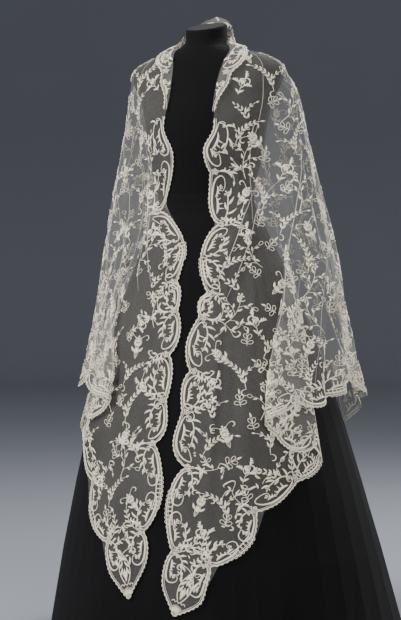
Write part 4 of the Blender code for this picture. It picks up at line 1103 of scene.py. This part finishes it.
def field(half):
    """Leafy sprays over the net of one half, in rows with every other row set over."""
    work = Lacework(half)
    random = np.random.default_rng(5 if half.side == "left" else 9)
    row = 0
    height = 0.22
    while height < 1.50:
        xs = np.linspace(0, 1, 801)
        hs = np.full(801, height)
        run = run_along(half.place(xs, hs))
        spots = np.arange(FIELD_STEP_ACROSS * (0.72 + 0.5 * (row % 2)), run[-1], FIELD_STEP_ACROSS)
        for k, spot in enumerate(spots):
            jitter = random.uniform(-1, 1, 4)
            x = float(np.interp(spot + jitter[0] * 0.014, run, xs))
            h = height + jitter[1] * 0.012
            motif = SPRAYS[(row * 2 + k) % len(SPRAYS)]()
            flip = 1 if (k + row) % 2 else -1
            work.put(motif, (x, h - 0.020), flip * 28 + jitter[2] * 30, flip, 0.80 + 0.06 * jitter[3])
            if (k + row) % 2:
                x = float(np.interp(spot + FIELD_STEP_ACROSS * 0.5, run, xs))
                work.put(small_sprig(), (x, h + FIELD_STEP_UP * 0.46), jitter[3] * 70, flip, 0.80)
        _, _, tall = half.measures(np.array([0.6]), np.array([height]))[:, 0]
        height += FIELD_STEP_UP / tall
        row += 1

    def wanted(x, h):
        front, hem, top = half.room(x, h)
        return (front > BORDER_DEPTH * 0.72) & (hem > BORDER_DEPTH * 0.78) & (top > 0.006) & (x < 0.999)

    work.keep(wanted)
    return work


def collar_border():
    """The same border on the turned-over collar."""
    work = Lacework(COLLAR)
    edge = CollarEdge(COLLAR)
    trim_edge(work, edge, 0.002, edge.run[-1] - 0.002, [])

    def deep(run):
        return 0.82 * float(COLLAR.edge(run + COLLAR.runs[0]))

    fill_scallops(work, edge, edge.notches, deep, False)
    for run in np.arange(0.05, edge.run[-1] - 0.05, 0.034):
        work.along(edge, [leaf((0, 0), 90, 0.0140, 0.0060, 30)], run, 0.026, 40 * math.sin(run * 90))
    work.keep(lambda x, h: (h > 0.0004) & (x > COLLAR.runs[0]) & (x < COLLAR.runs[-1]))
    return work


def fold_lines(half):
    """Thin bright lines where the net is folded and lies several times over itself."""
    work = Lacework(half)
    for x, start, end, width in FOLD_LINES:
        low = half.hem_low(np.array(x)) + 0.004 if end is None else end
        h = np.linspace(min(start, float(half.top(x)) - 0.004), float(low), 50)
        wander = 0.0040 * np.sin(h * 9 + x * 60) + 0.0018 * np.sin(h * 31 + x * 25)
        work.run(x + wander, h, width / 2 * (0.35 + 0.65 * np.sin(np.pi * np.linspace(0.04, 0.96, 50))))
    for top, top_angle, low, low_angle, spread, _ in GATHERS[half.side][:2]:
        h = np.linspace(top, low, 36)
        line = top_angle + (low_angle - top_angle) * (top - h) / (top - low)
        xs = np.linspace(0, FOLD_AT, 121)
        angles = half.angle(xs[None, :], h[:, None])
        x = np.array([np.interp(a + 0.3 * spread, row, xs) for a, row in zip(line, angles)])
        work.run(x, h, 0.0008 * (0.3 + np.sin(np.pi * np.linspace(0.02, 0.98, 36))))
    work.keep(lambda x, h: (x > 0.004) & (half.room(x, h)[0] > 0) & (half.room(x, h)[1] > 0))
    return work


def net_of(half):
    """Points, a density and UV places for the net of one half. Its columns crowd at the side fold."""
    x = np.linspace(0, 1, NET_COLUMNS)
    x = x - 0.055 * np.sin(2 * np.pi * (x - FOLD_AT)) * np.exp(-(((x - FOLD_AT) / 0.25) ** 2))
    x = np.clip((x - x[0]) / (x[-1] - x[0]), 0, 1)
    low, high = half.hem_low(x), half.top(x)
    v = np.linspace(0, 1, NET_ROWS) ** 0.92
    h = low[None, :] + (high - low)[None, :] * v[:, None]
    xs = np.broadcast_to(x[None, :], h.shape)
    xs = xs + half.front_cut(h) * (1 - xs) ** 24
    normal = half.normal(xs, h)
    points = half.place(xs, h) + normal * NET_LIFT
    off = (share_of(xs) - FOLD_AT) / FOLD_HALF
    started = ease((1.25 - h) / 0.3)
    turns = np.exp(-(((off - 0.85) / 0.16) ** 2)) + np.exp(-(((off + 0.85) / 0.16) ** 2))
    density = 0.9 * started * turns
    angle = half.angle(xs, h)
    for top, top_angle, bottom, low_angle, spread, rise in GATHERS[half.side]:
        along = (top - h) / (top - bottom)
        line = top_angle + (low_angle - top_angle) * along
        strength = np.sin(np.pi * np.clip((along + 0.1) / 1.2, 0, 1))
        density += 70 * rise * strength * np.exp(-(((angle - line - spread * 0.5) / (spread * 0.22)) ** 2))
    density += 90 * half.creases(share_of(xs), h)
    for middle, spread, rise, start in RIDGES:
        if rise > 0:
            fall = np.clip((start - h) / (start - RIDGE_FOOT), 0, 1)
            density += 0.8 * fall * np.exp(-(((share_of(xs) - middle) / (spread * 0.4)) ** 2))
    uv = np.stack([xs, np.broadcast_to(v[:, None], h.shape)], axis=-1)
    return points, np.clip(density, 0, 1), uv


def grid_faces(rows, columns, first=0, turned=False):
    """Faces between the points of a grid, turned over if asked."""
    i = np.arange(rows * columns).reshape(rows, columns) + first
    faces = np.stack([i[:-1, :-1], i[:-1, 1:], i[1:, 1:], i[1:, :-1]], axis=-1).reshape(-1, 4)
    return faces[:, ::-1] if turned else faces


def net_object(name, points, faces, density, uv):
    """A sheet of net. Its density is kept as an attribute, and its own UV map follows the cloth."""
    obj = made_mesh(name, points, faces)
    data = obj.data
    layer = data.attributes.new("density", "FLOAT", "POINT")
    layer.data.foreach_set("value", density.astype(np.float32))
    unwrapped = data.uv_layers.new(name="UVMap")
    corner = np.empty(len(data.loops), int)
    data.loops.foreach_get("vertex_index", corner)
    unwrapped.data.foreach_set("uv", uv[corner].astype(np.float32).ravel())
    return obj


def linear(hex_colour):
    """An sRGB hex value as linear red, green and blue."""
    parts = [int(hex_colour[i : i + 2], 16) / 255 for i in (1, 3, 5)]
    return tuple(p / 12.92 if p <= 0.04045 else ((p + 0.055) / 1.055) ** 2.4 for p in parts)


def node(tree, kind, links=None, **settings):
    """Adds a node, sets its properties or sockets and links its inputs."""
    made = tree.nodes.new(kind)
    for key, value in settings.items():
        if hasattr(made, key):
            setattr(made, key, value)
        else:
            made.inputs[key.replace("_", " ")].default_value = value
    for socket, source in (links or {}).items():
        tree.links.new(source, made.inputs[socket])
    return made


def new_material(name, colour, roughness):
    """A material of one colour and roughness, with its tree and its shader."""
    made = bpy.data.materials.new(name)
    made.use_nodes = True
    tree = made.node_tree
    shader = tree.nodes["Principled BSDF"]
    shader.inputs["Base Color"].default_value = (*colour, 1)
    shader.inputs["Roughness"].default_value = roughness
    return made, tree, shader


def mottled(tree, shader, colour, low, high, **grain):
    """Lets the colour wander in soft patches between two shades. Returns the coordinates it reads."""
    place = node(tree, "ShaderNodeTexCoord").outputs["Object"]
    patches = node(tree, "ShaderNodeTexNoise", {"Vector": place}, **grain).outputs["Fac"]
    blend = node(tree, "ShaderNodeMix", data_type="RGBA")
    tree.links.new(patches, blend.inputs["Factor"])
    blend.inputs["A"].default_value = (*[c * k for c, k in zip(colour, low)], 1)
    blend.inputs["B"].default_value = (*[min(1.0, c * high) for c in colour], 1)
    tree.links.new(blend.outputs["Result"], shader.inputs["Base Color"])
    return place


def roughened(tree, shader, height, strength, distance):
    """Gives the surface a fine relief from a pattern."""
    bump = node(tree, "ShaderNodeBump", {"Height": height}, Strength=strength, Distance=distance)
    tree.links.new(bump.outputs["Normal"], shader.inputs["Normal"])


def cotton_tape(settings):
    """Bleached cotton worked close: matt, with a fine plain weave about 0.6 mm apart.

    The weave is drawn at 1.6 mm, because 0.6 mm is too fine to show.
    """
    made, tree, shader = new_material("cotton_tape", settings.lace_colour, 0.82)
    shade = (0.80, 0.76, 0.66)
    place = mottled(tree, shader, settings.lace_colour, shade, 1.08, Scale=38.0, Detail=3.0)
    weave = node(tree, "ShaderNodeTexVoronoi", {"Vector": place}, Scale=625.0).outputs["Distance"]
    roughened(tree, shader, weave, 0.35, 0.0006)
    shader.inputs["Sheen Weight"].default_value = 0.15
    return made


def cotton_net(settings):
    """Machine-made cotton net with meshes of about 1 mm: mostly holes, so mostly clear.

    The meshes are too fine to show one by one. A fine mottle of about 3 mm stands for them, and
    the net is denser where it is creased.
    """
    made, tree, shader = new_material("cotton_net", settings.net_colour, 0.9)
    place = node(tree, "ShaderNodeTexCoord").outputs["Object"]
    fine = node(tree, "ShaderNodeTexNoise", {"Vector": place}, Scale=330.0, Detail=2.0).outputs["Fac"]
    broad = node(tree, "ShaderNodeTexNoise", {"Vector": place}, Scale=9.0, Detail=3.0).outputs["Fac"]
    crease = node(tree, "ShaderNodeAttribute", attribute_name="density").outputs["Fac"]
    ground = node(tree, "ShaderNodeMapRange", {"Value": fine})
    ground.inputs["From Min"].default_value = 0.3
    ground.inputs["From Max"].default_value = 0.7
    ground.inputs["To Min"].default_value = settings.net_cover * 0.80
    ground.inputs["To Max"].default_value = settings.net_cover * 1.20
    uneven = node(tree, "ShaderNodeMath", {0: ground.outputs["Result"], 1: broad}, operation="MULTIPLY")
    even = node(tree, "ShaderNodeMath", {0: uneven.outputs[0], 1: ground.outputs["Result"]}, operation="ADD")
    thick = node(tree, "ShaderNodeMath", {0: crease}, operation="MULTIPLY")
    thick.inputs[1].default_value = settings.crease_cover
    both = {0: even.outputs[0], 1: thick.outputs[0]}
    cover = node(tree, "ShaderNodeMath", both, operation="ADD", use_clamp=True)
    tree.links.new(cover.outputs[0], shader.inputs["Alpha"])
    shader.inputs["Sheen Weight"].default_value = 0.2
    roughened(tree, shader, fine, 0.2, 0.0005)
    return made


def folded_net(settings):
    """The same net where a fold lays it several times over itself: nearly opaque, with a soft gloss."""
    made, tree, shader = new_material("cotton_net_folded", settings.net_colour, 0.7)
    mottled(tree, shader, settings.net_colour, (0.8, 0.8, 0.8), 1.0, Scale=60.0, Detail=2.0)
    shader.inputs["Alpha"].default_value = settings.fold_cover
    shader.inputs["Sheen Weight"].default_value = 0.3
    return made


def velvet(name, colour, pile):
    """Cotton velvet: very dark and matt, with a short pile that lightens a little at the rim."""
    made, tree, shader = new_material(name, colour, 0.96)
    place = mottled(tree, shader, colour, (0.55, 0.55, 0.55), 1.7, Scale=7.0, Detail=5.0)
    fibres = node(tree, "ShaderNodeTexNoise", {"Vector": place}, Scale=900.0, Detail=2.0).outputs["Fac"]
    roughened(tree, shader, fibres, 0.4, 0.0006)
    shader.inputs["Sheen Weight"].default_value = pile
    shader.inputs["Sheen Roughness"].default_value = 0.4
    shader.inputs["Specular IOR Level"].default_value = 0.15
    return made


def painted_paper(name, colour):
    """Matt paper sweep of a studio, nearly even."""
    made, tree, shader = new_material(name, colour, 0.95)
    mottled(tree, shader, colour, (0.97, 0.97, 0.97), 1.03, Scale=1.2, Detail=2.0)
    return made


def finished(obj, material):
    """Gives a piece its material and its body."""
    obj.data.materials.clear()
    obj.data.materials.append(material)
    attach(obj, "root")
    return obj


def shared(name, maker, *values):
    """A material that is made once and used again."""
    return bpy.data.materials.get(name) or maker(*values)


class ShawlSettings(bpy.types.PropertyGroup):
    """Colours, covers, light and camera distance"""

    lace_colour: bpy.props.FloatVectorProperty(
        name="Lace", description="Colour of the dense cotton of the motifs", subtype="COLOR",
        default=linear("#f3ecd9"), min=0, max=1)
    net_colour: bpy.props.FloatVectorProperty(
        name="Net", description="Colour of the thread of the net", subtype="COLOR",
        default=linear("#e9e5da"), min=0, max=1)
    net_cover: bpy.props.FloatProperty(
        name="Net cover", description="Share of the net's area that is thread", default=0.047, min=0, max=1,
        subtype="FACTOR")
    fold_cover: bpy.props.FloatProperty(
        name="Fold cover", description="Opacity of the net's folded edges", default=0.50, min=0, max=1,
        subtype="FACTOR")
    crease_cover: bpy.props.FloatProperty(
        name="Crease cover", description="Extra cover where the net is creased", default=0.16, min=0, max=1,
        subtype="FACTOR")
    form_colour: bpy.props.FloatVectorProperty(
        name="Form", description="Colour of the velvet of the form", subtype="COLOR",
        default=linear("#09090a"), min=0, max=1)
    floor_colour: bpy.props.FloatVectorProperty(
        name="Floor", description="Colour of the floor and the backdrop", subtype="COLOR",
        default=linear("#84878e"), min=0, max=1)
    light_power: bpy.props.FloatProperty(
        name="Light", description="Power of the main light", default=330.0, min=0, unit="POWER")
    camera_distance: bpy.props.FloatProperty(
        name="Camera distance", description="From the camera to the middle of the form", default=4.0, min=1,
        unit="LENGTH")


class SHAWL_OT_form(bpy.types.Operator):
    """Covers the display form in velvet"""

    bl_idname = "shawl.form"
    bl_label = "Finish the form"

    def execute(self, context):
        settings = context.scene.shawl
        cover = velvet("black_velvet", settings.form_colour, 0.03)
        plain = velvet("black_cloth_plate", tuple(c * 1.7 for c in settings.form_colour), 0.05)
        for name, material in (("form_torso", cover), ("form_skirt", cover), ("neck_cap", plain)):
            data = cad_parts[name].data
            for k in range(len(data.materials)):
                data.materials[k] = material
        return {"FINISHED"}


class SHAWL_OT_cloth(bpy.types.Operator):
    """Drapes the net, works the motifs on it and turns the collar over"""

    bl_idname = "shawl.cloth"
    bl_label = "Drape the shawl"

    def execute(self, context):
        settings = context.scene.shawl
        thread = shared("cotton_tape", cotton_tape, settings)
        ground = shared("cotton_net", cotton_net, settings)
        folded = shared("cotton_net_folded", folded_net, settings)
        points, faces, density, uv, first = [], [], [], [], 0
        for side in ("left", "right"):
            place, dense, flat = net_of(HALVES[side])
            faces.append(grid_faces(NET_ROWS, NET_COLUMNS, first, side == "right"))
            first += NET_ROWS * NET_COLUMNS
            points.append(place.reshape(-1, 3))
            density.append(dense.ravel())
            flat = flat * [0.48, 1.0] + [0.0 if side == "left" else 0.52, 0]
            uv.append(flat.reshape(-1, 2))
        net = net_object("shawl_net", np.concatenate(points), np.concatenate(faces), np.concatenate(density),
                         np.concatenate(uv))
        finished(net, ground)
        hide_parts("front_left", "front_right", "side_left", "side_right", "back")
        columns, rows = 260, 14
        x = np.linspace(COLLAR.runs[0], COLLAR.runs[-1], columns)
        part = np.linspace(0, 1, rows)
        h = part[:, None] * COLLAR.edge(x)[None, :]
        where = np.broadcast_to(x, h.shape)
        sheet = COLLAR.place(where, h) + COLLAR.normal(where, h) * NET_LIFT
        flat = np.stack([where / COLLAR.length, np.broadcast_to(part[:, None], h.shape)], axis=-1)
        collar = net_object("collar_net", sheet.reshape(-1, 3), grid_faces(rows, columns),
                            np.full(h.size, 0.80), flat.reshape(-1, 2))
        finished(collar, ground)
        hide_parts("collar")
        pieces = [collar, finished(collar_border().mesh("collar_lace"), thread)]
        for side, half in HALVES.items():
            pieces.append(finished(border(half).mesh(f"border_lace_{side}"), thread))
            pieces.append(finished(field(half).mesh(f"field_lace_{side}"), thread))
            pieces.append(finished(fold_lines(half).mesh(f"fold_lines_{side}", NET_LIFT), folded))
        return {"FINISHED"}


class SHAWL_OT_stage(bpy.types.Operator):
    """Sets up the floor, the lights and the camera"""

    bl_idname = "shawl.stage"
    bl_label = "Set the stage"

    def execute(self, context):
        settings = context.scene.shawl
        t = np.linspace(0, np.pi / 2, 13)[1:]
        rim = FLOOR_REACH + FLOOR_BEND
        r = np.array([0.05, 3.0, FLOOR_REACH, *(FLOOR_REACH + FLOOR_BEND * np.sin(t)), rim])[:, None]
        z = np.array([0.0, 0.0, 0.0, *(FLOOR_BEND - FLOOR_BEND * np.cos(t)), WALL_TOP])[:, None]
        turn = np.linspace(0, 2 * np.pi, FLOOR_SIDES + 1)
        points = np.stack([r * np.cos(turn), r * np.sin(turn), z + 0 * turn], axis=-1)
        floor = made_mesh("studio_sweep", points.reshape(-1, 3), grid_faces(len(r), len(turn), 0, True))
        floor.data.materials.append(painted_paper("studio_paper", settings.floor_colour))
        for name, size, power, place in LAMPS:
            lamp = bpy.data.lights.new(name, "AREA")
            lamp.size = size
            lamp.energy = settings.light_power * power
            obj = bpy.data.objects.new(name, lamp)
            obj.location = place
            aim = np.array(LAMPS_AIM) - np.array(place)
            tilt = math.atan2(math.hypot(aim[0], aim[1]), -aim[2])
            obj.rotation_euler = (tilt, 0, math.atan2(-aim[0], aim[1]))
            context.scene.collection.objects.link(obj)
        world = bpy.data.worlds.new("studio")
        world.use_nodes = True
        background = world.node_tree.nodes["Background"]
        background.inputs["Color"].default_value = (*linear(WORLD_COLOUR), 1)
        background.inputs["Strength"].default_value = WORLD_STRENGTH
        context.scene.world = world
        context.scene.cycles.transparent_max_bounces = 32
        azimuth = math.radians(AZIMUTH)
        data = bpy.data.cameras.new("camera")
        data.sensor_fit = "VERTICAL"
        data.sensor_height = SENSOR
        data.lens = LENS
        data.shift_x = -(AIM_IN_PHOTO[0] - PHOTO_WIDTH / 2) / PHOTO_HEIGHT
        data.shift_y = (AIM_IN_PHOTO[1] - PHOTO_HEIGHT / 2) / PHOTO_HEIGHT
        camera = bpy.data.objects.new("camera", data)
        away = settings.camera_distance
        camera.location = (away * math.sin(azimuth), -away * math.cos(azimuth), CAMERA_HEIGHT)
        camera.rotation_euler = (math.pi / 2, 0, azimuth)
        context.scene.collection.objects.link(camera)
        context.scene.camera = camera
        return {"FINISHED"}


class SHAWL_PT_panel(bpy.types.Panel):
    """Lists the settings and the steps"""

    bl_idname = "SHAWL_PT_panel"
    bl_label = "Lace shawl"
    bl_space_type = "VIEW_3D"
    bl_region_type = "UI"
    bl_category = "Shawl"

    def draw(self, context):
        settings = context.scene.shawl
        for key in ShawlSettings.__annotations__:
            self.layout.prop(settings, key)
        for operator in OPERATORS:
            self.layout.operator(operator.bl_idname)


OPERATORS = (SHAWL_OT_form, SHAWL_OT_cloth, SHAWL_OT_stage)
CLASSES = (ShawlSettings, *OPERATORS, SHAWL_PT_panel)


def register():
    for item in CLASSES:
        bpy.utils.register_class(item)
    bpy.types.Scene.shawl = bpy.props.PointerProperty(type=ShawlSettings)


def unregister():
    del bpy.types.Scene.shawl
    for item in reversed(CLASSES):
        bpy.utils.unregister_class(item)


def main():
    """Runs the steps in order."""
    register()
    bpy.ops.shawl.form()
    bpy.ops.shawl.cloth()
    bpy.ops.shawl.stage()
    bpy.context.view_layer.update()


if __name__ == "__main__":
    main()
